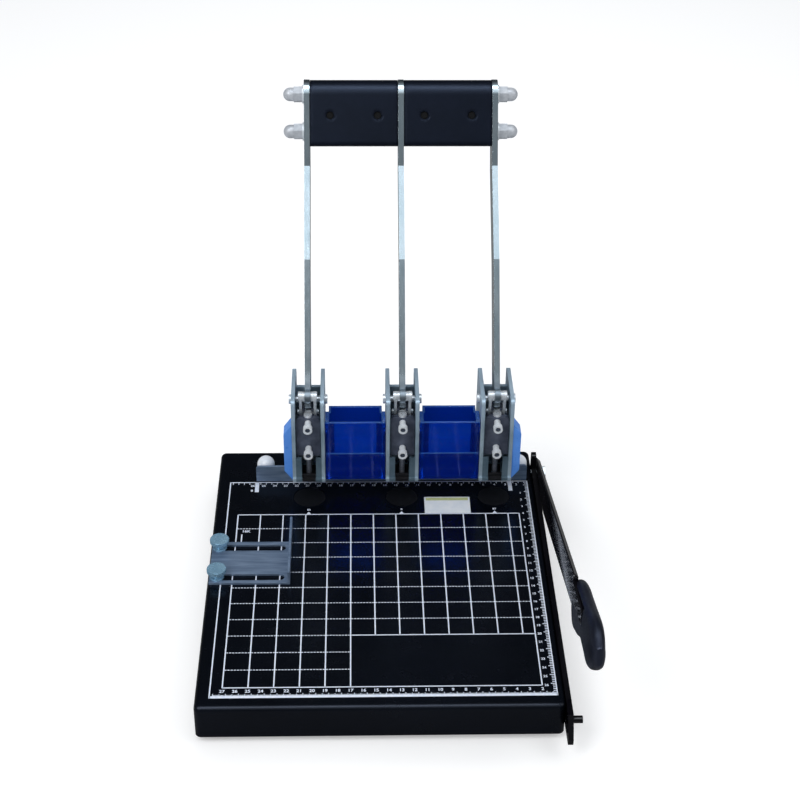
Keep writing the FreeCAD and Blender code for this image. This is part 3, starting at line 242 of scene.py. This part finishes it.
def coat(material, *names):
    """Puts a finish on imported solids."""
    for name in names:
        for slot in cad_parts[name].material_slots:
            slot.material = material


black_enamel = finish("black_enamel", tone(4, 7, 14), roughness=0.18, Specular_IOR_Level=0.3,
                      Specular_Tint=(0.85, 0.95, 1.2, 1))
vary(black_enamel, "Base Color", tone(2, 4, 9), tone(5, 8, 16), size=60)
vary(black_enamel, "Roughness", 0.2, 0.29, size=18)
emboss(black_enamel, depth=0.006, size=2.4, edge=2)
coat(black_enamel, "base_tray")


# ---- Table printing -----------------------------------------------------------------------
# White screen print on the table: a frame with centimetre rules, a 20 mm grid and marks at
# the stations. The ink stands a few hundredths of a millimetre proud. A blank paper slip
# with a pale band is glued on beside the middle station.
INK = 0.05
white_ink = finish("white_ink", tone(226, 234, 248), roughness=0.5)
vary(white_ink, "Base Color", tone(212, 224, 244), tone(236, 242, 252), size=3)
vary(white_ink, "Roughness", 0.4, 0.62, size=1)
emboss(white_ink, depth=0.01, size=0.5)


def new_tree(name, **inputs):
    """A Geometry Nodes tree with named sizes, a count and a material to set."""
    tree = bpy.data.node_groups.new(name, "GeometryNodeTree")
    tree.interface.new_socket("Geometry", in_out="OUTPUT", socket_type="NodeSocketGeometry")
    for socket, value in inputs.items():
        kind = "NodeSocketInt" if isinstance(value, int) else "NodeSocketFloat"
        made = tree.interface.new_socket(socket, in_out="INPUT", socket_type=kind)
        made.default_value = value
    tree.interface.new_socket("Finish", in_out="INPUT", socket_type="NodeSocketMaterial")
    return tree


def close_tree(tree, instances, material):
    """Ends a tree: its copies become real and take the material."""
    real = step(tree, "GeometryNodeRealizeInstances", {"Geometry": instances})
    coated = step(tree, "GeometryNodeSetMaterial",
                  {"Geometry": real.outputs["Geometry"], "Material": material})
    step(tree, "NodeGroupOutput", {"Geometry": coated.outputs["Geometry"]})


rule_tree = new_tree("row_of_bars", Count=11, Pitch=1.0, Width=0.3, Short=2.0, Fifth=3.0,
                     Tenth=4.0, Height=INK)
entry = step(rule_tree, "NodeGroupInput").outputs
pace = step(rule_tree, "ShaderNodeCombineXYZ", {"X": entry["Pitch"]}).outputs[0]
row = step(rule_tree, "GeometryNodeMeshLine", {"Count": entry["Count"], "Offset": pace})
cube = step(rule_tree, "GeometryNodeMeshCube", {"Size": (1, 1, 1)})
bar = step(rule_tree, "GeometryNodeTransform",
           {"Geometry": cube.outputs["Mesh"], "Translation": (0, 0.5, 0.5)})
index = step(rule_tree, "GeometryNodeInputIndex").outputs[0]
reach = entry["Short"]
for every, longer, shorter in ((5, "Fifth", "Short"), (10, "Tenth", "Fifth")):
    marked = reckon(rule_tree, "COMPARE", reckon(rule_tree, "MODULO", index, every), 0, 0.1)
    extra = reckon(rule_tree, "SUBTRACT", entry[longer], entry[shorter])
    reach = reckon(rule_tree, "MULTIPLY_ADD", extra, marked, reach)
sizes = step(rule_tree, "ShaderNodeCombineXYZ",
             {"X": entry["Width"], "Y": reach, "Z": entry["Height"]}).outputs[0]
bars = step(rule_tree, "GeometryNodeInstanceOnPoints",
            {"Points": row.outputs["Mesh"], "Instance": bar.outputs["Geometry"],
             "Scale": sizes})
close_tree(rule_tree, bars.outputs["Instances"], entry["Finish"])


def plain_mesh(holder):
    """The mesh that a holder's modifier or lettering makes. The holder itself goes."""
    bpy.context.scene.collection.objects.link(holder)
    bpy.context.view_layer.update()
    seen = holder.evaluated_get(bpy.context.evaluated_depsgraph_get())
    mesh = bpy.data.meshes.new_from_object(seen)
    bpy.data.objects.remove(holder)
    return mesh


def grown(tree, inputs):
    """The plain mesh that a Geometry Nodes tree makes from the named inputs."""
    holder = bpy.data.objects.new("grown", bpy.data.meshes.new("grown"))
    modifier = holder.modifiers.new("grow", "NODES")
    modifier.node_group = tree
    for item in tree.interface.items_tree:
        if item.item_type == "SOCKET" and item.in_out == "INPUT":
            modifier[item.identifier] = inputs[item.name]
    return plain_mesh(holder)


def merged(name, meshes, material, body):
    """One piece from several meshes, riding on a body."""
    whole = bmesh.new()
    for mesh in meshes:
        whole.from_mesh(mesh)
        bpy.data.meshes.remove(mesh)
    result = bpy.data.meshes.new(name)
    whole.to_mesh(result)
    whole.free()
    result.materials.append(material)
    for face in result.polygons:
        face.material_index = 0
    piece = bpy.data.objects.new(name, result)
    bpy.context.scene.collection.objects.link(piece)
    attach(piece, body)


TABLE_TOP = 36


def placed(mesh, x, y, z=TABLE_TOP, turn=0):
    """Moves a mesh drawn in millimetres to its place in metres."""
    mesh.transform(Matrix.Translation((x * mm, y * mm, z * mm))
                   @ Matrix.Rotation(math.radians(turn), 4, "Z") @ Matrix.Scale(mm, 4))
    return mesh


def bars_at(x, y, count, pitch, width, short, fifth=None, tenth=None, turn=0, height=INK):
    """A printed row of bars that starts at x, y and runs along x, or turned by some degrees."""
    return placed(grown(rule_tree, {
        "Count": count, "Pitch": float(pitch), "Width": float(width), "Short": float(short),
        "Fifth": float(fifth or short), "Tenth": float(tenth or fifth or short),
        "Height": height, "Finish": white_ink}), x, y, turn=turn)


def strip(x0, y0, x1, y1, height=INK):
    """One printed bar between two corners."""
    return bars_at((x0 + x1) / 2, y0, 1, 1, width=x1 - x0, short=y1 - y0, height=height)


RULE_LEFT, RULE_RIGHT = -132.4, 138.1
RULE_FRONT, RULE_REAR = -158, 121
HALF_LINE, HALF_RIGHT_LINE, FRONT_BAND = 0.5, 0.4, 2
EDGE_MARKS, EDGE_MARKS_FRONT = ((-109.9, -106.3), (120.3, 123.9)), 106.5
PAPER_MARK = (-118.6, 33, -117.6, 45)
frame_lines = [
    strip(RULE_LEFT, RULE_FRONT - HALF_LINE, RULE_RIGHT, RULE_FRONT + FRONT_BAND),
    strip(RULE_LEFT, RULE_REAR - HALF_LINE, RULE_RIGHT, RULE_REAR + HALF_LINE),
    strip(RULE_LEFT - HALF_LINE, RULE_FRONT - HALF_LINE,
          RULE_LEFT + HALF_LINE, RULE_REAR + HALF_LINE),
    strip(RULE_RIGHT - HALF_RIGHT_LINE, RULE_FRONT - HALF_LINE,
          RULE_RIGHT + HALF_RIGHT_LINE, RULE_REAR + HALF_LINE),
    *(strip(left, EDGE_MARKS_FRONT, right, RULE_REAR) for left, right in EDGE_MARKS),
    strip(*PAPER_MARK),
]
merged("table_frame_print", frame_lines, white_ink, "base")

GRID_LEFT, GRID_RIGHT = -122.9, 127.1
GRID_FRONT, GRID_REAR = -147, 73
TICKS_LEFT = GRID_LEFT - 7
rule_ticks = [
    bars_at(TICKS_LEFT, RULE_FRONT + FRONT_BAND, count=268, pitch=1, width=0.5,
            short=1.1, fifth=1.9, tenth=2.4),
    bars_at(TICKS_LEFT, RULE_REAR - 3.1, count=54, pitch=5, width=0.6, short=2.2, fifth=2.6),
    bars_at(RULE_RIGHT - HALF_RIGHT_LINE, RULE_FRONT + 3, count=138, pitch=2, width=0.75,
            short=2.2, fifth=3.6, turn=90),
]
merged("rule_ticks", rule_ticks, white_ink, "base")

# The grid's front right corner is bare, and its lines across the table are dashed.
CELL = 20
GRID_DEEP = GRID_REAR - GRID_FRONT
BARE_DEEP = 3 * CELL
BARE_LEFT = GRID_LEFT + 5 * CELL
DASH_PITCH, DASH_LONG, DASH_THICK = 2.5, 1.7, 0.8
grid_lines = [
    bars_at(GRID_LEFT, GRID_FRONT, count=6, pitch=CELL, width=2 * HALF_LINE, short=GRID_DEEP),
    bars_at(BARE_LEFT + CELL, GRID_FRONT + BARE_DEEP, count=7, pitch=CELL,
            width=2 * HALF_LINE, short=GRID_DEEP - BARE_DEEP),
    strip(GRID_LEFT, GRID_REAR - HALF_LINE, GRID_RIGHT, GRID_REAR + HALF_LINE),
    strip(GRID_RIGHT - HALF_LINE, GRID_FRONT, GRID_RIGHT + HALF_LINE, GRID_REAR),
    strip(GRID_LEFT, GRID_FRONT - HALF_LINE, GRID_RIGHT, GRID_FRONT + HALF_LINE),
    strip(BARE_LEFT, GRID_FRONT + BARE_DEEP - HALF_LINE,
          GRID_RIGHT, GRID_FRONT + BARE_DEEP + HALF_LINE),
]
for level in range(CELL, GRID_DEEP, CELL):
    dashes = 40 if level <= BARE_DEEP else 100
    grid_lines.append(bars_at(GRID_LEFT + DASH_PITCH / 2, GRID_FRONT + level - DASH_THICK / 2,
                              dashes, DASH_PITCH, width=DASH_LONG, short=DASH_THICK))
merged("table_grid_print", grid_lines, white_ink, "base")


def printed(text, size, x, y):
    """A figure of the rule, centred on its spot, with its strokes a little thickened."""
    words = bpy.data.curves.new("figure", "FONT")
    words.body = str(text)
    words.size = size
    words.align_x = "CENTER"
    words.align_y = "CENTER"
    words.resolution_u = 3
    words.extrude = INK / 2
    words.offset = size / 45
    return placed(plain_mesh(bpy.data.objects.new("figure", words)), x, y, TABLE_TOP + INK / 2)


CM, LAST = 10, 27
FRONT_FIGURES, REAR_FIGURES, SIDE_FIGURES = -151, 115.8, 130.6
REAR_ZERO, SIDE_ZERO = GRID_LEFT + 0.8, RULE_REAR - 8
figures = [printed(LAST - i, 4.4, GRID_LEFT + CM * i, FRONT_FIGURES) for i in range(LAST - 1)]
figures += [printed(LAST - i, 3.8, REAR_ZERO + CM * i, REAR_FIGURES)
            for i in range(1, LAST - 1)]
figures += [printed(i, 3.4, SIDE_FIGURES, SIDE_ZERO - CM * i) for i in range(1, LAST)]
figures += [printed(8, 4.2, -112.6, 108.6), printed("16K", 4.4, -114.6, 49.3)]

MARKS_FRONT, MARK_HALF, MARK_DEEP = GRID_REAR + 0.4, 2.2, 3.4
MARK_LABELS = 79.6
for station, label in ((-60.3, 83), (22.3, 0), (105.4, 83)):
    triangle = bpy.data.meshes.new("station_mark")
    outline = ((-MARK_HALF, 0), (MARK_HALF, 0), (0, MARK_DEEP))
    triangle.from_pydata([(x, y, z) for z in (0, INK) for x, y in outline], [],
                         [(2, 1, 0), (3, 4, 5), (0, 1, 4, 3), (1, 2, 5, 4), (2, 0, 3, 5)])
    figures += [placed(triangle, station, MARKS_FRONT),
                printed(label, 3.2, station, MARK_LABELS)]
merged("rule_figures", figures, white_ink, "base")

SLIP_THICK, BAND_THICK = 0.12, 0.15
slip_paper = finish("slip_paper", tone(226, 233, 240), roughness=0.55)
vary(slip_paper, "Base Color", tone(218, 227, 236), tone(234, 239, 243), size=8)
emboss(slip_paper, depth=0.01, size=0.4)
merged("blank_slip", [strip(43.1, 73.8, 84.1, 97.5, SLIP_THICK)], slip_paper,
       "base")

slip_band = finish("slip_band", tone(186, 194, 140), roughness=0.5)
vary(slip_band, "Base Color", tone(174, 184, 126), tone(198, 204, 158), size=3)
emboss(slip_band, depth=0.01, size=0.4)
merged("blank_slip_band", [strip(44.6, 92.3, 82.6, 96.4, BAND_THICK)], slip_band,
       "base")


# ---- Rubber feet --------------------------------------------------------------------------
# Four feet moulded in black rubber and pushed into the tray's rim. The rubber is matt and a
# little dusty.
foot_rubber = finish("foot_rubber", tone(24, 24, 25), roughness=0.8)
vary(foot_rubber, "Base Color", tone(18, 18, 19), tone(34, 34, 35), size=5)
emboss(foot_rubber, depth=0.06, size=0.5)
coat(foot_rubber, "base_feet")


# ---- Cutting discs ------------------------------------------------------------------------
# Hard nylon discs, let in flush with the table, that the punches strike. They are turned by
# hand to bring a fresh spot under the punch, and are scuffed all over.
STATIONS = ("left", "middle", "right")


def at_each(*names):
    """The names of like pieces at the three stations."""
    return [name + "_" + station for name in names for station in STATIONS]


disc_black = finish("disc_black", tone(10, 11, 15), roughness=0.42, Specular_IOR_Level=0.3)
vary(disc_black, "Base Color", tone(8, 9, 13), tone(15, 17, 22), size=4)
vary(disc_black, "Roughness", 0.36, 0.5, size=1.2)
emboss(disc_black, depth=0.03, size=0.7)
coat(disc_black, *at_each("cutting_disc"))


# ---- Station frames -----------------------------------------------------------------------
# Channels folded from 3.5 mm sheet steel and zinc plated. The plating is bluish and cloudy,
# with painted shade darkening it inside the channel and painted light paling it towards the
# top. A moulded block sits in each sole.
MIDDLE_STATION, STATION_PITCH = 23, 83
FAR_OFF = 100


def from_station(made, rear):
    """Millimetres along x from the nearest station's middle, or far off behind a row y."""
    tree = made.node_tree
    spot = step(tree, "ShaderNodeTexCoord").outputs["Object"]
    parts = step(tree, "ShaderNodeSeparateXYZ", {0: spot}).outputs
    aside = reckon(tree, "ABSOLUTE", reckon(tree, "SUBTRACT", parts["X"], MIDDLE_STATION * mm))
    nearest = reckon(tree, "PINGPONG", aside, STATION_PITCH * mm / 2)
    nearest = reckon(tree, "MULTIPLY", nearest, 1 / mm)
    behind = reckon(tree, "GREATER_THAN", parts["Y"], rear * mm)
    return reckon(tree, "MULTIPLY_ADD", behind, FAR_OFF, nearest)


EDGE_BLUR = 0.2


def zoned(made, edge, near, beyond, size, rear=1000):
    """Two cloudy pairs of colours: one near the stations' middles, one beyond an edge."""
    tree = made.node_tree
    # The zone picks one half of the ramp, and the grain moves within that half.
    zone = climb(tree, from_station(made, rear), edge - EDGE_BLUR, edge + EDGE_BLUR, 0.5)
    mixed = reckon(tree, "MULTIPLY_ADD", grain(made, size), 0.5, zone)
    places = (half + place / 2 for half in (0, 0.5) for place in (GRAIN_LOW, GRAIN_HIGH))
    pairs = ramp(tree, mixed, *zip(places, (*near, *beyond)))
    tree.links.new(pairs, quality(made, "Base Color"))


# A Mix node's colour sockets share their names with its others, so they go by number.
MIX_UNDER, MIX_OVER, MIX_RESULT = 6, 7, 2


def laid_over(made, socket, axis, start, end, value, share=1):
    """Lays another value over one quality, from a place along an axis to the side of end."""
    tree = made.node_tree
    spot = step(tree, "ShaderNodeTexCoord").outputs["Object"]
    parts = step(tree, "ShaderNodeSeparateXYZ", {0: spot}).outputs
    under = quality(made, socket)
    laid = step(tree, "ShaderNodeMix",
                {"Factor": climb(tree, parts[axis], start * mm, end * mm, share),
                 MIX_UNDER: under.links[0].from_socket, MIX_OVER: shade(value)},
                data_type="RGBA")
    tree.links.new(laid.outputs[MIX_RESULT], under)


CHANNEL_SHADE_SIDE, FRAME_WEB = 11.4, 130
PAINTED_LIGHT_START, PAINTED_LIGHT_FULL = 108, 130
zinc_steel = finish("zinc_steel", tone(150, 165, 178), roughness=0.34, Metallic=0.35)
# Painted shade: the plating is darker inside the channel, near the stations' middles.
zoned(zinc_steel, CHANNEL_SHADE_SIDE, (tone(86, 108, 122), tone(108, 130, 144)),
      (tone(150, 172, 186), tone(180, 200, 214)), size=14, rear=FRAME_WEB)
# Painted light: the plating turns paler towards the frames' top.
laid_over(zinc_steel, "Base Color", "Z", PAINTED_LIGHT_START, PAINTED_LIGHT_FULL, tone(184, 208, 228),
          share=0.55)
vary(zinc_steel, "Roughness", 0.32, 0.44, size=2.4, stretch=(1, 1, 0.3))
emboss(zinc_steel, depth=0.02, size=0.8, edge=0.35)
coat(zinc_steel, *at_each("punch_frame"))

black_plastic = finish("black_plastic", tone(16, 17, 20), roughness=0.4)
vary(black_plastic, "Base Color", tone(12, 13, 16), tone(24, 25, 29), size=6)
emboss(black_plastic, depth=0.03, size=0.4, edge=0.3)
coat(black_plastic, *at_each("stripper"))


# ---- Pins, screws, nuts and punches -------------------------------------------------------
# Turned and cold-headed steel, nickel plated: bright on most, whiter on the clamp screws and
# washers, satin on the dome nuts. The punches are hardened steel, bare, near white at the head.
bright_steel = finish("bright_steel", tone(225, 232, 238), roughness=0.3, Metallic=0.45)
vary(bright_steel, "Base Color", tone(208, 217, 225), tone(238, 243, 247), size=3)
vary(bright_steel, "Roughness", 0.24, 0.38, size=0.8, stretch=(1, 1, 6))
emboss(bright_steel, depth=0.01, size=0.5, stretch=(1, 1, 5), edge=0.25)
coat(bright_steel, "frame_screws", *at_each("pivot_pin", "links", "link_pins"), "handle_rods",
     "box_pegs", "bar_screws", "knife_pivot_bolt", "knife_washer", "knife_nut")

white_nickel = finish("white_nickel", tone(236, 241, 245), roughness=0.3, Metallic=0.2)
vary(white_nickel, "Base Color", tone(224, 231, 238), tone(242, 246, 249), size=3)
vary(white_nickel, "Roughness", 0.24, 0.38, size=0.8, stretch=(1, 1, 6))
emboss(white_nickel, depth=0.005, size=0.5, stretch=(1, 1, 5), edge=0.25)
coat(white_nickel, *at_each("ram_screws"), "handle_washers")

satin_nickel = finish("satin_nickel", tone(200, 204, 211), roughness=0.4, Metallic=0.25)
vary(satin_nickel, "Base Color", tone(190, 195, 202), tone(210, 214, 220), size=3)
vary(satin_nickel, "Roughness", 0.34, 0.44, size=1.5)
emboss(satin_nickel, depth=0.004, size=3, edge=0.3)
coat(satin_nickel, "handle_dome_nuts")

PUNCH_HEAD = 120
tool_steel = finish("tool_steel", tone(120, 126, 138), roughness=0.3, Metallic=0.6)
vary(tool_steel, "Base Color", tone(106, 112, 124), tone(132, 138, 150), size=3)
laid_over(tool_steel, "Base Color", "Z", PUNCH_HEAD - EDGE_BLUR, PUNCH_HEAD + EDGE_BLUR,
          tone(240, 244, 248))
vary(tool_steel, "Roughness", 0.24, 0.36, size=0.8, stretch=(1, 1, 6))
emboss(tool_steel, depth=0.01, size=0.5, stretch=(1, 1, 5), edge=0.2)
coat(tool_steel, *at_each("punch"))


# ---- Rams ---------------------------------------------------------------------------------
# Milled steel blocks that slide in the channels, chemically blackened to a soft dark grey
# with a fine upright grain. Dark plugs in the sockets of their clamp screws are painted shade.
ram_steel = finish("ram_steel", tone(76, 80, 92), roughness=0.42, Metallic=0.4)
vary(ram_steel, "Base Color", tone(70, 77, 93), tone(98, 105, 122), size=9)
vary(ram_steel, "Roughness", 0.34, 0.52, size=1.5, stretch=(2, 2, 0.25))
emboss(ram_steel, depth=0.02, size=0.9, stretch=(3, 3, 0.2), edge=0.4)
coat(ram_steel, *at_each("ram"))

# Painted shade: a dark plug in each hex socket of the clamp screws stands for the shade inside
# it.
socket_shade = finish("socket_shade", tone(52, 60, 74), roughness=0.5)
vary(socket_shade, "Base Color", tone(40, 48, 62), tone(70, 80, 96), size=1)
emboss(socket_shade, depth=0.05, size=0.5)
HALF_HEAD, SOCKET_RADIUS = 4, 2.45
SHADE_UNDER_RIM, SHADE_DEEP, SHADE_RIM, SHADE_DIP = 0.6, 1.7, 0.8, 0.3
for station in STATIONS:
    low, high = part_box("ram_screws_" + station)
    fills = []
    for level in (low[2] + HALF_HEAD * mm, high[2] - HALF_HEAD * mm):
        plug = bmesh.new()
        bmesh.ops.create_cone(plug, cap_ends=True, segments=6, radius1=SOCKET_RADIUS * mm,
                              radius2=SOCKET_RADIUS * mm, depth=SHADE_DEEP * mm)
        bmesh.ops.inset_region(plug, faces=[f for f in plug.faces if f.normal.z > 0.9],
                               thickness=SHADE_RIM * mm, depth=-SHADE_DIP * mm)
        spot = Matrix.Translation(((low[0] + high[0]) / 2,
                                   low[1] + (SHADE_UNDER_RIM + SHADE_DEEP / 2) * mm, level))
        bmesh.ops.transform(plug, verts=plug.verts,
                            matrix=spot @ Matrix.Rotation(math.pi / 2, 4, "X"))
        mesh = bpy.data.meshes.new("socket_fill")
        plug.to_mesh(mesh)
        plug.free()
        fills.append(mesh)
    merged("socket_shade_" + station, fills, socket_shade, "ram_" + station)


# ---- Lever arms ---------------------------------------------------------------------------
# Three arms cut from 5 mm plate, ground and bright plated, so that they mirror the room. At
# the nose, round the pivot, grease and rubbing have turned them dull, and painted shade darkens
# them there.
NOSE_START, NOSE_FULL = 156, 146
arm_steel = finish("arm_steel", tone(222, 234, 240), roughness=0.2, Metallic=1.0)
vary(arm_steel, "Base Color", tone(206, 225, 234), tone(226, 240, 247), size=30)
# Painted shade: the colour is darker at the nose, round the pivot.
laid_over(arm_steel, "Base Color", "Z", NOSE_START, NOSE_FULL, tone(142, 154, 164))
vary(arm_steel, "Roughness", 0.12, 0.2, size=6, stretch=(4, 1, 0.4))
laid_over(arm_steel, "Roughness", "Z", NOSE_START, NOSE_FULL, 0.5)
emboss(arm_steel, depth=0.003, size=3, stretch=(2, 1, 0.3), edge=0.35)
coat(arm_steel, *at_each("lever_arm"))


# ---- Handle -------------------------------------------------------------------------------
# Two hand bars moulded in black plastic between the arms, with a fine leather-like grain
# that gives a broad soft shine. Small blackened screws hold them from recesses.
handle_black = finish("handle_black", tone(9, 13, 28), roughness=0.34, Specular_IOR_Level=0.36,
                      Specular_Tint=(0.75, 0.95, 1.4, 1))
vary(handle_black, "Base Color", tone(3, 5, 14), tone(6, 9, 22), size=30)
vary(handle_black, "Roughness", 0.3, 0.4, size=1.5)
emboss(handle_black, depth=0.03, size=0.7, edge=4)
coat(handle_black, "handle_grip_left", "handle_grip_right")

burnt_steel = finish("burnt_steel", tone(3, 4, 7), roughness=0.6, Specular_IOR_Level=0.2)
vary(burnt_steel, "Base Color", tone(2, 3, 5), tone(6, 7, 10), size=2)
emboss(burnt_steel, depth=0.02, size=0.6)
coat(burnt_steel, "grip_screws")


# ---- Chip boxes and end covers ------------------------------------------------------------
# Bins injection moulded in clear deep blue styrene, thin walled and glossy. Painted shade
# darkens them near the frames, on the rear wall and below a painted highlight line low on the
# front, and a painted highlight runs along the rim. The end covers are a lighter, milky blue.
BOX_SHADE, BOX_REAR_WALL = 23, 121.4
BOX_HIGHLIGHT_TOP, BOX_HIGHLIGHT_FOOT, BOX_RIM_HIGHLIGHT = 86, 84.6, 117.2
BOX_STEP = 0.4
clear_blue = finish("clear_blue", tone(5, 84, 222), roughness=0.08, IOR=1.5,
                    Transmission_Weight=0.7)
# Painted shade: the bins are darker near the frames.
zoned(clear_blue, BOX_SHADE, (tone(2, 44, 150), tone(4, 52, 168)),
      (tone(3, 78, 216), tone(8, 92, 230)), size=30)
# Painted shade: the rear wall is darker.
laid_over(clear_blue, "Base Color", "Y", BOX_REAR_WALL, BOX_REAR_WALL + BOX_STEP,
          tone(5, 50, 165))
# Painted highlight: a light line low on the front of the bins.
laid_over(clear_blue, "Base Color", "Z", BOX_HIGHLIGHT_TOP, BOX_HIGHLIGHT_TOP - BOX_STEP,
          tone(96, 160, 250))
# Painted shade: the bins are darker below that line.
laid_over(clear_blue, "Base Color", "Z", BOX_HIGHLIGHT_FOOT, BOX_HIGHLIGHT_FOOT - BOX_STEP,
          tone(2, 54, 184))
# Painted highlight: a light band along the rim.
laid_over(clear_blue, "Base Color", "Z", BOX_RIM_HIGHLIGHT, BOX_RIM_HIGHLIGHT + BOX_STEP, tone(90, 150, 250))
vary(clear_blue, "Roughness", 0.05, 0.13, size=25)
emboss(clear_blue, depth=0.1, size=12, edge=0.5)
coat(clear_blue, "chip_box_left", "chip_box_right")

light_blue = finish("light_blue", tone(88, 148, 236), roughness=0.3)
vary(light_blue, "Base Color", tone(80, 140, 228), tone(98, 158, 244), size=20)
vary(light_blue, "Roughness", 0.26, 0.38, size=2)
emboss(light_blue, depth=0.02, size=0.8, edge=0.8)
coat(light_blue, "end_cover_left", "end_cover_right")


# ---- Paper fence and side guide -----------------------------------------------------------
# Both are sheet steel, brushed across and plated a dull blue-grey. Slots let them slide.
# White moulded knobs clamp the fence, and knurled thumb screws the guide.
grey_steel = finish("grey_steel", tone(98, 116, 140), roughness=0.4, Metallic=0.4)
vary(grey_steel, "Base Color", tone(96, 116, 142), tone(130, 150, 176), size=3,
     stretch=(0.12, 1, 1))
vary(grey_steel, "Roughness", 0.32, 0.5, size=1.2, stretch=(0.1, 1, 1))
emboss(grey_steel, depth=0.02, size=0.6, stretch=(0.08, 1, 1), edge=0.3)
coat(grey_steel, "paper_fence", "side_guide")

knob_white = finish("knob_white", tone(236, 240, 248), roughness=0.25)
vary(knob_white, "Base Color", tone(228, 234, 244), tone(242, 245, 250), size=6)
vary(knob_white, "Roughness", 0.15, 0.28, size=1)
emboss(knob_white, depth=0.01, size=0.8, edge=0.3)
coat(knob_white, "fence_knob_left", "fence_knob_right")

thumb_steel = finish("thumb_steel", tone(128, 168, 196), roughness=0.28, Metallic=0.5)
vary(thumb_steel, "Base Color", tone(136, 178, 206), tone(162, 202, 226), size=12)
vary(thumb_steel, "Roughness", 0.22, 0.3, size=4)
emboss(thumb_steel, depth=0.004, size=2, edge=0.7)
coat(thumb_steel, "thumb_screw_rear", "thumb_screw_front")

KNURL_INSET, KNURL_LONG = 0.25, 3
knurl = {"Count": 44, "Radius": 8 * mm, "Width": 0.36 * mm, "Height": KNURL_LONG * mm}
knurl_tree = new_tree("ring_of_ribs", **knurl)
entry = step(knurl_tree, "NodeGroupInput").outputs
ring = step(knurl_tree, "GeometryNodeMeshCircle",
            {"Vertices": entry["Count"], "Radius": entry["Radius"]})
sizes = step(knurl_tree, "ShaderNodeCombineXYZ",
             {"X": entry["Width"], "Y": entry["Width"], "Z": entry["Height"]}).outputs[0]
rib = step(knurl_tree, "GeometryNodeMeshCube", {"Size": sizes})
index = step(knurl_tree, "GeometryNodeInputIndex").outputs[0]
share = reckon(knurl_tree, "DIVIDE", 2 * math.pi, entry["Count"])
angle = reckon(knurl_tree, "MULTIPLY_ADD", index, share, math.pi / 4)
facing = step(knurl_tree, "ShaderNodeCombineXYZ", {"Z": angle}).outputs[0]
ribs = step(knurl_tree, "GeometryNodeInstanceOnPoints",
            {"Points": ring.outputs["Mesh"], "Instance": rib.outputs["Mesh"],
             "Rotation": facing})
close_tree(knurl_tree, ribs.outputs["Instances"], entry["Finish"])
for place in ("rear", "front"):
    low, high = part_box("thumb_screw_" + place)
    ribs = grown(knurl_tree, {**knurl, "Finish": thumb_steel})
    ribs.transform(Matrix.Translation(((low[0] + high[0]) / 2, (low[1] + high[1]) / 2,
                                       high[2] - (KNURL_INSET + KNURL_LONG / 2) * mm)))
    merged("thumb_knurl_" + place, [ribs], thumb_steel, "thumb_" + place)


# ---- Trimmer knife ------------------------------------------------------------------------
# A steel blade and its fixed bar, both blackened and polished, so that the blade mirrors
# the rule beside it. The hand grip is moulded black plastic.
knife_black = finish("knife_black", tone(10, 9, 13), roughness=0.1, Specular_IOR_Level=0.5)
vary(knife_black, "Base Color", tone(7, 6, 10), tone(13, 12, 17), size=40)
vary(knife_black, "Roughness", 0.07, 0.13, size=8, stretch=(1, 0.2, 1))
emboss(knife_black, depth=0.004, size=12, stretch=(1, 0.15, 1))
coat(knife_black, "knife_blade", "cutter_bar", "rail_peg")

grip_black = finish("grip_black", tone(12, 14, 24), roughness=0.35, Specular_IOR_Level=0.8,
                    Specular_Tint=(0.8, 0.92, 1.3, 1))
vary(grip_black, "Base Color", tone(9, 11, 19), tone(17, 20, 32), size=20)
vary(grip_black, "Roughness", 0.3, 0.45, size=1.5)
emboss(grip_black, depth=0.03, size=0.8)
coat(grip_black, "knife_grip")
